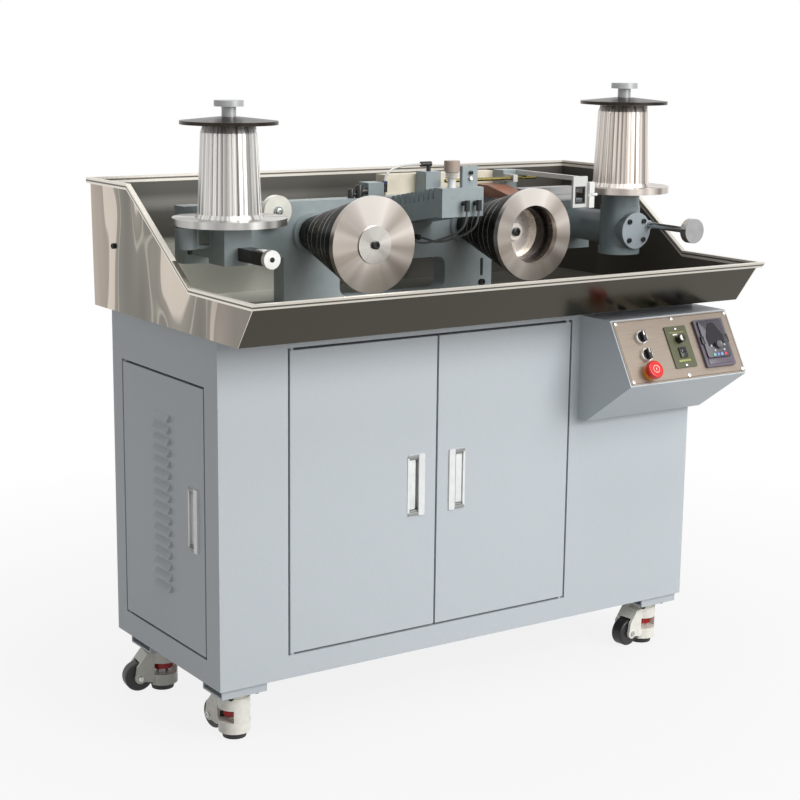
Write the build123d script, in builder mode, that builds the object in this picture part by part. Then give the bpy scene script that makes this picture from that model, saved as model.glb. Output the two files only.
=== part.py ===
"""Wire drawing machine: cabinet on levelling casters, drip tray, two stepped drawing cones, payoff and take-up.

Millimetres. +X runs along the machine to the take-up end, the front faces -Y, +Z is up, and z = 0 is the floor.
The origin is the middle of the tray's plan, on the floor.
"""
import os
from itertools import product
from math import cos, hypot, pi, radians, sin

from build123d import *

os.makedirs("parts", exist_ok=True)

# Gaps that every moving or seated piece shares
door_gap = 5.0
running_gap = 5.0
seat_gap = 0.3
shaft_clearance = 0.05

# Cabinet
cabinet_length = 1228.0
cabinet_depth = 472.0
cabinet_height = 714.5
cabinet_front_y = -163.0
sheet = 3.0
jamb_depth = 25.0

# Casters and the channels that carry them
caster_height = 103.0
caster_x = cabinet_length / 2 - 64.0
caster_front_y = cabinet_front_y + 61.0
caster_back_y = cabinet_front_y + 389.0
bracket_height = 20.0
bracket_length = 103.0
bracket_depth = 82.0
bracket_back_depth = 92.0
bracket_inset = 8.0
bracket_wall = 4.0
pad_radius = 27.0
pad_foot_radius = 24.0
pad_height = 13.0
stem_radius = 8.0
adjuster_radius = 23.0
adjuster_height = 15.0
adjuster_hub_radius = 13.0
adjuster_hub_height = 10.0
fork_radius = 33.0
fork_half_width = 24.0
fork_window_bottom = 37.0
fork_window_height = 26.0
fork_window_width = 52.0
fork_top = 88.0
caster_plate_size = 76.0
caster_plate_height = 5.0
wheel_radius = 31.5
wheel_width = 30.0
wheel_offset = 57.0
wheel_floor_gap = 2.0
wheel_side_gap = 2.5
axle_radius = 4.0
caster_turn = {"front_left": 98.0, "front_right": 188.0, "back_left": 172.0, "back_right": 60.0}

# Levels the rest is set out from: the cabinet's underside and top, and the tray's floor
tray_sheet = 3.0
cabinet_bottom_z = caster_height + bracket_height
cabinet_top_z = cabinet_bottom_z + cabinet_height
tray_floor_z = cabinet_top_z + tray_sheet

# Front doors, side door and pulls
door_left_x = -452.8
door_meeting_x = -97.0
door_right_x = 255.6
door_bottom_z = cabinet_bottom_z + 52.9
door_top_z = cabinet_top_z - 37.8
door_sheet = 2.0
door_depth = 20.0
hinge_inset = 6.0
hinge_pin_radius = 2.5
hinge_pin_reach = 9.0
hinge_collar_radius = 4.5
side_door_front_y = -102.7
side_door_back_y = 259.1
side_door_bottom_z = cabinet_bottom_z + 56.0
side_door_top_z = cabinet_top_z - 109.5
pull_width = 42.0
pull_height = 132.0
pull_lip = 1.5
pull_pocket_depth = 14.0
pull_pocket_margin = 6.0
pull_cover_width = 15.0
pull_cover_stand = 3.5
pull_z = (door_bottom_z + door_top_z) / 2
pull_from_edge = 50.0
side_pull_z = (side_door_bottom_z + side_door_top_z) / 2
side_pull_from_edge = 46.0
louvre_count = 16
louvre_length = 70.0
louvre_height = 15.0
louvre_stand = 8.0
louvre_slot = 6.5
louvre_low_z = side_door_bottom_z + 96.0
louvre_pitch = (side_door_top_z - 92.0 - louvre_low_z) / (louvre_count - 1)
louvre_y = 78.0

# Console
console_left_x = 283.4
console_width = 338.0
console_top_z = cabinet_top_z - 24.5
console_top_depth = 97.0
console_nose_depth = 173.0
console_nose_z = console_top_z - 132.0
console_low_depth = 29.0
console_low_z = console_nose_z - 100.0
console_back_low_z = console_low_z - 2.0
face_plate_edge = 3.0
face_plate_thickness = 2.0
control_hole_radius = 6.0
control_stem_radius = 5.95
selector_u = -104.0
selector_upper_v = 30.0
selector_lower_v = -10.5
stop_u = -109.0
stop_v = -50.0
ring_radius = 14.75
ring_height = 7.0
ring_bore = 11.0
selector_head_radius = 10.5
selector_head_height = 8.5
selector_grip_length = 25.0
selector_grip_width = 8.0
selector_grip_height = 9.0
stop_collar_radius = 17.0
stop_collar_height = 10.0
stop_travel = 4.0
stop_neck_radius = 13.0
stop_head_radius = 20.0
stop_head_height = 12.0
speed_width = 62.0
speed_height = 96.0
speed_thickness = 3.0
speed_knob_radius = 9.0
speed_knob_height = 14.0
speed_knob_v = 16.0
rocker_v = -14.0
keypad_u = 97.5
keypad_width = 86.0
keypad_height = 111.0
keypad_thickness = 7.0

# Drip tray
tray_floor_half_length = cabinet_length / 2 + 20.0
tray_end_flare = 4.0
tray_depth = 713.0
tray_floor_front_y = -281.6
tray_wall_front_y = -347.85
tray_front_height = 91.2
tray_back_height = 270.9
tray_step_y = -100.8
tray_slope_top_y = 160.7
rim_height = 12.0
rim_stand = 7.0

# Main frame
frame_front_y = 123.0
frame_thickness = 43.0
frame_foot_left_x = -300.0
frame_foot_right_x = 251.0
frame_arm_left_x = -535.0
frame_arm_right_x = 540.0
frame_top_z = tray_floor_z + 220.5
frame_arm_left_z = tray_floor_z + 102.5
frame_arm_right_z = tray_floor_z + 78.5
frame_step_x = 205.0
frame_step_z = tray_floor_z + 212.5
frame_rail_x = 340.0
frame_rail_z = tray_floor_z + 192.5
window_left_x = -160.0
window_right_x = 120.0
window_bottom = 8.0
window_height = 73.5
window_radius = 20.0
foot_slot_x = 223.0
foot_slot_width = 8.0
foot_slot_length = 42.0
block_size = 40.0
block_left_x = -66.0
block_left_height = 32.0
block_right_x = 86.0
block_right_height = 51.0

# Stepped drawing cones
capstan_left_x = -234.0
capstan_right_x = 176.5
capstan_z = tray_floor_z + 151.0
cone_back_radius = 37.0
cone_front_radius = 92.0
cone_steps = 12
disc_radius = 99.0
disc_front_y = -127.0
disc_thickness = 14.0
capstan_shaft_radius = 15.0
bearing_boss_radius = 45.0
bearing_boss_front = 10.0
bearing_boss_back = 24.0
hub_radius = 39.0
hub_stand = 3.0
socket_radius = 9.0
socket_depth = 8.0
ring_bore_radius = 62.5
bore_step_radius = 56.0
bore_step_depth = 38.0
bore_depth = 78.0
bore_boss_radius = 19.0
bore_boss_height = 12.0

# Spools
payoff_x = -497.0
payoff_y = -2.0
payoff_flange_z = tray_floor_z + 208.5
takeup_x = 495.0
takeup_y = -37.0
takeup_flange_z = tray_floor_z + 238.5
spool_flange_radius = {"payoff": 115.0, "takeup": 108.0}
spool_flange_thickness = 14.0
drum_bottom_radius = 64.5
drum_shoulder_radius = 57.0
drum_shoulder_height = 13.0
drum_top_radius = 52.5
drum_height = 180.0
drum_foot_height = 8.0
drum_foot_radius = 69.0
flute_count = 36
flute_depth = 3.0
flute_land = 0.6
cap_plate_radius = 98.0
cap_plate_rim = 7.0
cap_plate_dome = 15.0
spindle_radius = 12.0
knob_stem_radius = 14.5
knob_stem_height = 20.0
knob_radius = 29.5
knob_height = 12.0

# Payoff stand and its tension bar
pillar_width = 61.0
pillar_depth = 67.0
pillar_bottom_z = tray_floor_z + 114.5
spindle_socket_depth = 60.0
arm_width = 45.0
arm_bottom_z = tray_floor_z + 122.5
arm_top_z = tray_floor_z + 184.5
brake_radius = 21.0
brake_x = -580.0
brake_y = 26.0
brake_bottom_z = tray_floor_z + 146.5
brake_web_thickness = 16.0
brake_window_width = 24.0
brake_window_height = 30.0
tension_x = -482.0
tension_z = tray_floor_z + 137.5
tension_width = 30.0
tension_height = 26.0
tension_length = 98.0
tension_end_radius = 18.5
tension_end_length = 12.0

# Guide pulley
pulley_x = -330.0
pulley_z = tray_floor_z + 204.5
pulley_radius = 33.0
pulley_width = 16.0
pulley_groove = 5.0
pulley_axle_radius = 6.0
pulley_stand = 12.0
pulley_collar_radius = 10.0
pulley_collar_length = 4.0

# Take-up gearbox and handle
gearbox_radius = 45.0
gearbox_bottom_z = tray_floor_z + 84.5
gearbox_foot_height = 17.0
gearbox_foot_radius = 47.0
gearbox_ring_z = tray_floor_z + 193.5
gearbox_ring_radius = 43.0
tube_radius = 37.5
tube_z = tray_floor_z + 140.5
cap_boss_radius = 37.0
cap_reach = 58.0
cap_radius = 41.0
cap_thickness = 8.0
handle_x = 532.0
handle_z = tray_floor_z + 151.5
handle_boss_radius = 11.0
handle_rod_radius = 7.0
handle_rod_length = 132.0
handle_knob_radius = 27.0
handle_knob_length = 18.0

# Die box, on its slope along Y
die_box_left_x = -25.0
die_box_width = 108.0
die_box_back_bottom_z = tray_floor_z + 159.9
die_box_height = 62.0
die_box_length = 190.0
die_box_rise = 30.5
die_box_wall = 9.0
die_box_floor = 9.0
die_box_end = 26.0
die_slots = 9
die_slot_pitch = 17.5
die_slot_width = 7.0
die_slot_depth = 24.0
die_plate_x = 48.0
die_plate_width = 40.0
die_plate_height = 45.0
die_plate_thickness = 10.0
valve_x = 8.0
valve_neck_radius = 9.0
valve_neck_height = 20.0
valve_body_radius = 14.0
valve_body_height = 14.0
valve_cap_radius = 17.0
valve_cap_height = 23.0

# Lubricant fittings and tubes
fitting_radius = 6.0
fitting_neck_radius = 5.0
fitting_reach = 15.0
fitting_drop = 16.0
fitting_left_x = 29.0
fitting_right_x = 60.0
fitting_z = tray_floor_z + 219.5
hose_radius = 2.5

# Rear guard, guide block, spray pipe
guard_left_x = -14.0
guard_right_x = 290.0
guard_depth = 40.0
guard_bottom_z = tray_floor_z + 159.5
guard_top_z = tray_floor_z + 264.5
guide_block_x = 244.0
guide_block_width = 54.0
guide_block_height = 26.0
guide_block_flat = 58.0
guide_block_tip_y = -2.0
guide_block_tip = 5.0
pipe_radius = 4.0
pipe_left_x = 99.0
pipe_right_x = 352.0
pipe_y = 98.0
pipe_z = tray_floor_z + 252.5
pipe_clearance = 0.3

# Traverse
traverse_block_left_x = 282.0
traverse_block_right_x = 321.0
traverse_block_front_y = 126.0
traverse_block_height = 56.0
traverse_lug_width = 12.0
traverse_arm_width = 8.0
traverse_arm_height = 10.0
traverse_arm_front_y = -92.0
traverse_plate_width = 40.0
traverse_plate_thickness = 6.0
traverse_plate_bottom_z = tray_floor_z + 200.5
traverse_window_width = 22.0
traverse_window_height = 30.0
rail_right_x = 505.0
rail_height = 31.0
rail_depth = 30.0
rail_groove = 6.0
roller_width = 14.0
roller_height = 25.0
roller_rod_radius = 3.5
roller_rod_length = 26.0

# Places worked out from the sizes above
half_length = cabinet_length / 2
cabinet_back_y = cabinet_front_y + cabinet_depth
wall_bottom_z = cabinet_bottom_z + sheet
frame_back_y = frame_front_y + frame_thickness
capstan_back_y = frame_front_y - bearing_boss_front - running_gap
disc_back_y = disc_front_y + disc_thickness


def write(part, name):
    """Label one finished piece and write it as its own STEP file."""
    part.label = name
    export_step(part, f"parts/{name}.step")


def box_between(low, high, mode=Mode.ADD):
    """A block given by its two opposite corners."""
    size = [b - a for a, b in zip(low, high)]
    with Locations(tuple((a + b) / 2 for a, b in zip(low, high))):
        return Box(*size, mode=mode)


# Casters. Each stands on its pad, under its channel at one corner of the cabinet.
caster_places = {
    "front_left": (-caster_x, caster_front_y),
    "front_right": (caster_x, caster_front_y),
    "back_left": (-caster_x, caster_back_y),
    "back_right": (caster_x, caster_back_y),
}
wheel_z = wheel_radius + wheel_floor_gap
wheel_well_radius = wheel_radius + 3.0


def caster_plane(corner):
    """The plane of one caster: its origin on the floor under the pad, local x towards the wheel."""
    x, y = caster_places[corner]
    turn = radians(caster_turn[corner])
    return Plane(origin=(x, y, 0), x_dir=(cos(turn), sin(turn), 0), z_dir=(0, 0, 1))


bracket_x = half_length - bracket_inset - bracket_length / 2
bracket_front_y = cabinet_front_y + bracket_inset + bracket_depth / 2
bracket_back_y = caster_back_y - 12
bracket_rows = ((bracket_front_y, bracket_depth), (bracket_back_y, bracket_back_depth))
with BuildPart() as caster_brackets:
    for x, (y, depth) in product((-bracket_x, bracket_x), bracket_rows):
        low = (x - bracket_length / 2, y - depth / 2, caster_height)
        high = (x + bracket_length / 2, y + depth / 2, cabinet_bottom_z)
        box_between(low, high)
        open_low = (low[0] - 1, low[1] + bracket_wall, low[2] + bracket_wall)
        open_high = (high[0] + 1, high[1] - bracket_wall, high[2])
        box_between(open_low, open_high, mode=Mode.SUBTRACT)
write(caster_brackets.part, "caster_brackets")


def caster_fork():
    """Cast body round the levelling screw, with two cheeks that reach down to the wheel's axle."""
    cheek_gap = wheel_width / 2 + wheel_side_gap
    with BuildPart() as fork:
        with BuildSketch(Plane.XZ):
            with BuildLine():
                Polyline(
                    (0, fork_window_bottom),
                    (0, fork_top),
                    (wheel_offset * 0.72, fork_top),
                    (wheel_offset + 7, wheel_z + 26),
                    (wheel_offset + 11, wheel_z + 2),
                    (wheel_offset - 6, wheel_z - 8),
                    (fork_radius - 4, fork_window_bottom - 16),
                    close=True,
                )
            make_face()
        extrude(amount=fork_half_width, both=True)
        with BuildSketch(Plane.XZ):
            with Locations((wheel_offset, wheel_z)):
                Circle(12)
        extrude(amount=fork_half_width, both=True)
        with Locations((0, 0, pad_height)):
            Cylinder(fork_radius, fork_top - pad_height, align=(Align.CENTER, Align.CENTER, Align.MIN))
        with Locations(Location((wheel_offset, 0, wheel_z), (90, 0, 0))):
            Cylinder(wheel_well_radius, 2 * cheek_gap, mode=Mode.SUBTRACT)
        half_window = fork_window_width / 2
        box_between(
            (-half_window, -fork_radius - 1, fork_window_bottom),
            (half_window, fork_radius + 1, fork_window_bottom + fork_window_height),
            mode=Mode.SUBTRACT,
        )
        with Locations((0, 0, fork_window_bottom)):
            Cylinder(
                adjuster_radius + 1,
                fork_window_height,
                align=(Align.CENTER, Align.CENTER, Align.MIN),
                mode=Mode.SUBTRACT,
            )
        with Locations((0, 0, pad_height)):
            Cylinder(
                stem_radius + seat_gap,
                fork_window_bottom - pad_height,
                align=(Align.CENTER, Align.CENTER, Align.MIN),
                mode=Mode.SUBTRACT,
            )
        with Locations((0, 0, fork_top)):
            neck = caster_height - caster_plate_height - fork_top
            Cylinder(fork_radius - 5, neck, align=(Align.CENTER, Align.CENTER, Align.MIN))
        with Locations((0, 0, caster_height - caster_plate_height / 2)):
            Box(caster_plate_size, caster_plate_size, caster_plate_height)
        with Locations(Location((wheel_offset, 0, wheel_z), (90, 0, 0))):
            Cylinder(axle_radius, 2 * fork_half_width)
    return fork.part


fork = caster_fork()
forks = Compound(children=[caster_plane(corner).location * fork for corner in caster_places])
write(forks, "caster_forks")

with BuildPart() as adjuster:
    with BuildSketch(Plane.XY.offset(fork_window_bottom)):
        RegularPolygon(adjuster_hub_radius, 6)
    extrude(amount=adjuster_hub_height)
    with Locations((0, 0, fork_window_bottom + adjuster_hub_height)):
        Cylinder(adjuster_radius, adjuster_height, align=(Align.CENTER, Align.CENTER, Align.MIN))
    with Locations((0, 0, fork_window_bottom)):
        Cylinder(
            stem_radius + seat_gap,
            adjuster_hub_height + adjuster_height,
            align=(Align.CENTER, Align.CENTER, Align.MIN),
            mode=Mode.SUBTRACT,
        )
adjusters = Compound(children=[caster_plane(corner).location * adjuster.part for corner in caster_places])
write(adjusters, "caster_adjusters")

with BuildPart() as pad:
    Cone(pad_foot_radius, pad_radius, pad_height, align=(Align.CENTER, Align.CENTER, Align.MIN))
    with Locations((0, 0, pad_height)):
        stem_height = fork_window_bottom + adjuster_hub_height + adjuster_height - pad_height
        Cylinder(stem_radius, stem_height, align=(Align.CENTER, Align.CENTER, Align.MIN))
pads = Compound(children=[caster_plane(corner).location * pad.part for corner in caster_places])
write(pads, "levelling_pads")

with BuildPart() as wheel:
    with Locations(Location((0, 0, 0), (90, 0, 0))):
        Cylinder(wheel_radius, wheel_width)
        Cylinder(axle_radius + shaft_clearance, wheel_width, mode=Mode.SUBTRACT)
    fillet(wheel.edges().filter_by(GeomType.CIRCLE).sort_by(lambda edge: edge.radius)[-2:], 5)
for corner in caster_places:
    place = caster_plane(corner).location * Location((wheel_offset, 0, wheel_z))
    write(place * wheel.part, f"caster_wheel_{corner}")

# Cabinet. Flat sheets stand on the base and meet face to face.
with BuildPart() as cabinet_base:
    low = (-half_length, cabinet_front_y, cabinet_bottom_z)
    box_between(low, (half_length, cabinet_back_y, wall_bottom_z))
write(cabinet_base.part, "cabinet_base")

with BuildPart() as cabinet_back:
    low = (-half_length, cabinet_back_y - sheet, wall_bottom_z)
    box_between(low, (half_length, cabinet_back_y, cabinet_top_z))
write(cabinet_back.part, "cabinet_back")

side_front_y = cabinet_front_y + sheet
side_back_y = cabinet_back_y - sheet
with BuildPart() as cabinet_right_side:
    low = (half_length - sheet, side_front_y, wall_bottom_z)
    box_between(low, (half_length, side_back_y, cabinet_top_z))
write(cabinet_right_side.part, "cabinet_right_side")


def hinge_pins(x, y, bottom_z, top_z):
    """The fixed pin and its collar at the foot and at the head of one door."""
    collar = door_gap - seat_gap
    pin = door_gap + hinge_pin_reach
    with Locations((x, y, bottom_z - door_gap)):
        Cylinder(hinge_collar_radius, collar, align=(Align.CENTER, Align.CENTER, Align.MIN))
        Cylinder(hinge_pin_radius, pin, align=(Align.CENTER, Align.CENTER, Align.MIN))
    with Locations((x, y, top_z + door_gap)):
        Cylinder(hinge_collar_radius, collar, align=(Align.CENTER, Align.CENTER, Align.MAX))
        Cylinder(hinge_pin_radius, pin, align=(Align.CENTER, Align.CENTER, Align.MAX))


hinge_y = cabinet_front_y + hinge_inset
hinge_left_x = door_left_x + hinge_inset
hinge_right_x = door_right_x - hinge_inset
with BuildPart() as cabinet_front:
    low = (-half_length, cabinet_front_y, wall_bottom_z)
    box_between(low, (half_length, cabinet_front_y + sheet, cabinet_top_z))
    open_low = (door_left_x - door_gap, door_bottom_z - door_gap)
    open_high = (door_right_x + door_gap, door_top_z + door_gap)
    jamb_back_y = cabinet_front_y + jamb_depth
    box_between(
        (open_low[0] - sheet, cabinet_front_y, open_low[1] - sheet),
        (open_high[0] + sheet, jamb_back_y, open_high[1] + sheet),
    )
    box_between(
        (open_low[0], cabinet_front_y - 1, open_low[1]),
        (open_high[0], jamb_back_y + 1, open_high[1]),
        mode=Mode.SUBTRACT,
    )
    for x in (hinge_left_x, hinge_right_x):
        hinge_pins(x, hinge_y, door_bottom_z, door_top_z)
write(cabinet_front.part, "cabinet_front")

side_hinge_x = -half_length + hinge_inset
side_hinge_y = side_door_back_y - hinge_inset
with BuildPart() as cabinet_left_side:
    low = (-half_length, side_front_y, wall_bottom_z)
    box_between(low, (-half_length + sheet, side_back_y, cabinet_top_z))
    open_low = (side_door_front_y - door_gap, side_door_bottom_z - door_gap)
    open_high = (side_door_back_y + door_gap, side_door_top_z + door_gap)
    jamb_x = -half_length + jamb_depth
    box_between(
        (-half_length, open_low[0] - sheet, open_low[1] - sheet),
        (jamb_x, open_high[0] + sheet, open_high[1] + sheet),
    )
    box_between(
        (-half_length - 1, open_low[0], open_low[1]),
        (jamb_x + 1, open_high[0], open_high[1]),
        mode=Mode.SUBTRACT,
    )
    hinge_pins(side_hinge_x, side_hinge_y, side_door_bottom_z, side_door_top_z)
write(cabinet_left_side.part, "cabinet_left_side")


# Doors. Each is drawn lying flat: local x across, local y up, its face at z = 0 and its folded edges behind.
def door_plane_front(middle_x, middle_z):
    return Plane(origin=(middle_x, cabinet_front_y, middle_z), x_dir=(1, 0, 0), z_dir=(0, -1, 0))


def door_plane_side(middle_y, middle_z):
    return Plane(origin=(-half_length, middle_y, middle_z), x_dir=(0, -1, 0), z_dir=(-1, 0, 0))


def door_pan(width, height, hinge_u, pull_at):
    """A folded sheet door with holes for its hinge pins and a cut-out for its pull."""
    with BuildPart() as pan:
        with BuildSketch():
            Rectangle(width, height)
        extrude(amount=-door_depth)
        with BuildSketch(Plane.XY.offset(-door_sheet)):
            Rectangle(width - 2 * door_sheet, height - 2 * door_sheet)
        extrude(amount=-door_depth, mode=Mode.SUBTRACT)
        with Locations(Location((hinge_u, 0, -hinge_inset), (90, 0, 0))):
            Cylinder(hinge_pin_radius + shaft_clearance, height + 2, mode=Mode.SUBTRACT)
        with BuildSketch():
            with Locations(pull_at):
                Rectangle(pull_width - pull_pocket_margin, pull_height - pull_pocket_margin)
        extrude(amount=-door_sheet, mode=Mode.SUBTRACT)
    return pan.part


def door_pull(pull_at, lip_side):
    """A flush pull: a rimmed pocket in the door's cut-out, with a raised finger plate over one side of it."""
    outer_width = pull_width - pull_pocket_margin - 2 * seat_gap
    outer_height = pull_height - pull_pocket_margin - 2 * seat_gap
    with BuildPart() as pull:
        with BuildSketch():
            with Locations(pull_at):
                RectangleRounded(pull_width, pull_height, 4)
        extrude(amount=pull_lip)
        with BuildSketch():
            with Locations(pull_at):
                Rectangle(outer_width, outer_height)
        extrude(amount=-pull_pocket_depth)
        with BuildSketch(Plane.XY.offset(pull_lip)):
            with Locations(pull_at):
                Rectangle(outer_width - 2 * pull_lip, outer_height - 2 * pull_lip)
        extrude(amount=-pull_pocket_depth, mode=Mode.SUBTRACT)
        with BuildSketch():
            with Locations((pull_at[0] + lip_side * (pull_width - pull_cover_width) / 2, pull_at[1])):
                RectangleRounded(pull_cover_width, pull_height, 3)
        extrude(amount=pull_cover_stand)
    return pull.part


door_height = door_top_z - door_bottom_z
door_middle_z = (door_top_z + door_bottom_z) / 2
half_gap = door_gap / 2
front_doors = {
    "left": (door_left_x, door_meeting_x - half_gap, 1),
    "right": (door_meeting_x + half_gap, door_right_x, -1),
}
for side, (low_x, high_x, pull_side) in front_doors.items():
    width = high_x - low_x
    plane = door_plane_front((low_x + high_x) / 2, door_middle_z)
    pull_at = (pull_side * (width / 2 - pull_from_edge), pull_z - door_middle_z)
    hinge_u = -pull_side * (width / 2 - hinge_inset)
    write(plane.location * door_pan(width, door_height, hinge_u, pull_at), f"front_door_{side}")
    write(plane.location * door_pull(pull_at, pull_side), f"front_pull_{side}")

side_width = side_door_back_y - side_door_front_y
side_height = side_door_top_z - side_door_bottom_z
side_middle = ((side_door_back_y + side_door_front_y) / 2, (side_door_top_z + side_door_bottom_z) / 2)
side_plane = door_plane_side(*side_middle)
side_pull_at = (side_width / 2 - side_pull_from_edge, side_pull_z - side_middle[1])
louvre_u = side_middle[0] - louvre_y
side_pan = door_pan(side_width, side_height, -(side_width / 2 - hinge_inset), side_pull_at)
with BuildPart() as side_door:
    add(side_pan)
    for index in range(louvre_count):
        low_v = louvre_low_z + index * louvre_pitch - side_middle[1]
        with BuildSketch(Plane.YZ.offset(louvre_u - louvre_length / 2)):
            with BuildLine():
                Polyline(
                    (low_v, -door_sheet),
                    (low_v, louvre_stand),
                    (low_v + 2, louvre_stand),
                    (low_v + louvre_height, 0),
                    (low_v + louvre_height, -door_sheet),
                    close=True,
                )
            make_face()
        extrude(amount=louvre_length)
        with BuildSketch(Plane.YZ.offset(louvre_u - louvre_length / 2 + 2)):
            with BuildLine():
                Polyline(
                    (low_v - 1, -door_sheet - 1),
                    (low_v - 1, louvre_slot - 1),
                    (low_v + 1, louvre_slot - 1),
                    (low_v + louvre_height - 3, -door_sheet - 1),
                    close=True,
                )
            make_face()
        extrude(amount=louvre_length - 4, mode=Mode.SUBTRACT)
write(side_plane.location * side_door.part, "side_door")
write(side_plane.location * door_pull(side_pull_at, 1), "side_pull")

# Console. A closed sloped box on the cabinet's front, and a face plate that carries the controls.
console_profile = [
    (cabinet_front_y, console_top_z),
    (cabinet_front_y - console_top_depth, console_top_z),
    (cabinet_front_y - console_nose_depth, console_nose_z),
    (cabinet_front_y - console_low_depth, console_low_z),
    (cabinet_front_y, console_back_low_z),
]
slope_run = console_nose_depth - console_top_depth
slope_drop = console_top_z - console_nose_z
face_length = hypot(slope_run, slope_drop)
face_plane = Plane(
    origin=(
        console_left_x + console_width / 2,
        cabinet_front_y - (console_top_depth + console_nose_depth) / 2,
        (console_top_z + console_nose_z) / 2,
    ),
    x_dir=(1, 0, 0),
    z_dir=(0, -slope_drop, slope_run),
)
controls = {
    "selector_upper": (selector_u, selector_upper_v),
    "selector_lower": (selector_u, selector_lower_v),
    "emergency_stop": (stop_u, stop_v),
}
stem_depth = 12.0

with BuildPart() as console_housing:
    with BuildSketch(Plane.YZ.offset(console_left_x)):
        with BuildLine():
            Polyline(*console_profile, close=True)
        make_face()
    extrude(amount=console_width)
    with BuildSketch(face_plane):
        with Locations(*controls.values(), (0, speed_knob_v)):
            Circle(control_hole_radius + seat_gap)
    extrude(amount=-stem_depth - stop_travel - seat_gap, mode=Mode.SUBTRACT)
write(console_housing.part, "console_housing")

face_top = face_plane.offset(face_plate_thickness)
with BuildPart() as console_plate:
    with BuildSketch(face_plane):
        RectangleRounded(console_width - 2 * face_plate_edge, face_length - 2 * face_plate_edge, 3)
        with Locations(*controls.values(), (0, speed_knob_v)):
            Circle(control_hole_radius, mode=Mode.SUBTRACT)
    extrude(amount=face_plate_thickness)
write(console_plate.part, "console_plate")

with BuildPart() as switch_rings:
    for name, at in controls.items():
        is_stop = name == "emergency_stop"
        with BuildSketch(face_top):
            with Locations(at):
                Circle(stop_collar_radius if is_stop else ring_radius)
                Circle(stop_neck_radius + 0.5 if is_stop else ring_bore, mode=Mode.SUBTRACT)
        extrude(amount=stop_collar_height if is_stop else ring_height)
write(switch_rings.part, "switch_rings")


def turn_stem(at, radius, height):
    """A round head on the face plate, with the stem that turns in the plate's hole."""
    with Locations(face_top.offset(seat_gap).location * Location((*at, 0))):
        Cylinder(radius, height, align=(Align.CENTER, Align.CENTER, Align.MIN))
        Cylinder(control_stem_radius, stem_depth, align=(Align.CENTER, Align.CENTER, Align.MAX))


for name in ("selector_upper", "selector_lower"):
    with BuildPart() as selector:
        turn_stem(controls[name], selector_head_radius, selector_head_height)
        with BuildSketch(face_top.offset(seat_gap + selector_head_height)):
            with Locations(controls[name]):
                SlotOverall(selector_grip_length, selector_grip_width, rotation=90)
        extrude(amount=selector_grip_height)
    write(selector.part, name)

with BuildPart() as emergency_stop:
    turn_stem(controls["emergency_stop"], stop_neck_radius, stop_collar_height)
    emergency_head = face_top.offset(stop_collar_height + seat_gap)
    with BuildSketch(emergency_head):
        with Locations(controls["emergency_stop"]):
            Circle(stop_head_radius)
    extrude(amount=stop_head_height)
    fillet(emergency_stop.faces().sort_by(Axis(face_plane.origin, face_plane.z_dir))[-1].edges(), 4)
write(Location(face_plane.z_dir * stop_travel) * emergency_stop.part, "emergency_stop")

with BuildPart() as speed_controller:
    with BuildSketch(face_top):
        RectangleRounded(speed_width, speed_height, 2)
        with Locations((0, speed_knob_v)):
            Circle(control_hole_radius, mode=Mode.SUBTRACT)
    extrude(amount=speed_thickness)
    with BuildSketch(face_top.offset(speed_thickness)):
        with Locations((0, rocker_v)):
            Rectangle(19, 23)
    extrude(amount=2.5)
write(speed_controller.part, "speed_controller")

with BuildPart() as speed_knob:
    with BuildSketch(face_top.offset(speed_thickness + seat_gap)):
        with Locations((0, speed_knob_v)):
            Circle(speed_knob_radius)
    extrude(amount=speed_knob_height)
    with BuildSketch(face_top.offset(speed_thickness + seat_gap)):
        with Locations((0, speed_knob_v)):
            Circle(control_stem_radius)
    extrude(amount=-stem_depth)
write(speed_knob.part, "speed_knob")

with BuildPart() as inverter_keypad:
    with BuildSketch(face_top):
        with Locations((keypad_u, 0)):
            RectangleRounded(keypad_width, keypad_height, 3)
    extrude(amount=keypad_thickness)
write(inverter_keypad.part, "inverter_keypad")

# Drip tray. A lofted basin with a low sloped front, cut to its stepped side profile, with a hemmed rim.
tray_half_depth = tray_depth / 2
tray_back_y = tray_half_depth - rim_stand
front_lean = (tray_floor_front_y - tray_wall_front_y) / tray_front_height
tray_front_z = cabinet_top_z + tray_front_height
tray_back_z = cabinet_top_z + tray_back_height
end_lean = tray_end_flare / tray_back_height


def basin(inset):
    """The tray's outer form, moved in by an inset on every wall and up by it at the floor."""
    with BuildPart() as form:
        for height in (inset, tray_back_height + rim_height):
            half = tray_floor_half_length + end_lean * height - inset
            front = tray_floor_front_y - front_lean * height + inset * hypot(1, front_lean)
            back = tray_back_y - inset
            with BuildSketch(Plane.XY.offset(cabinet_top_z + height)):
                with Locations((0, (front + back) / 2)):
                    Rectangle(2 * half, back - front)
        loft(ruled=True)
    return form.part


def side_profile(drop, reach):
    """The stepped top line of the tray's ends, lowered by a drop, as a closed shape down to the floor."""
    return [
        (-tray_half_depth - reach, tray_front_z - drop),
        (tray_step_y, tray_front_z - drop),
        (tray_slope_top_y, tray_back_z - drop),
        (tray_half_depth + reach, tray_back_z - drop),
        (tray_half_depth + reach, cabinet_top_z - 1),
        (-tray_half_depth - reach, cabinet_top_z - 1),
    ]


tray_outer = basin(0.0)
tray_inner = basin(tray_sheet)
rim_outer = basin(-rim_stand)
tray_reach = tray_floor_half_length + tray_end_flare + 50


def profile_block(drop):
    with BuildPart() as block:
        with BuildSketch(Plane.YZ.offset(-tray_reach)):
            with BuildLine():
                Polyline(*side_profile(drop, 50), close=True)
            make_face()
        extrude(amount=2 * tray_reach)
    return block.part


with BuildPart() as drip_tray:
    add(rim_outer)
    add(profile_block(rim_height), mode=Mode.SUBTRACT)
    add(tray_outer)
    add(profile_block(0.0), mode=Mode.INTERSECT)
    add(tray_inner, mode=Mode.SUBTRACT)
write(drip_tray.part, "drip_tray")

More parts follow.
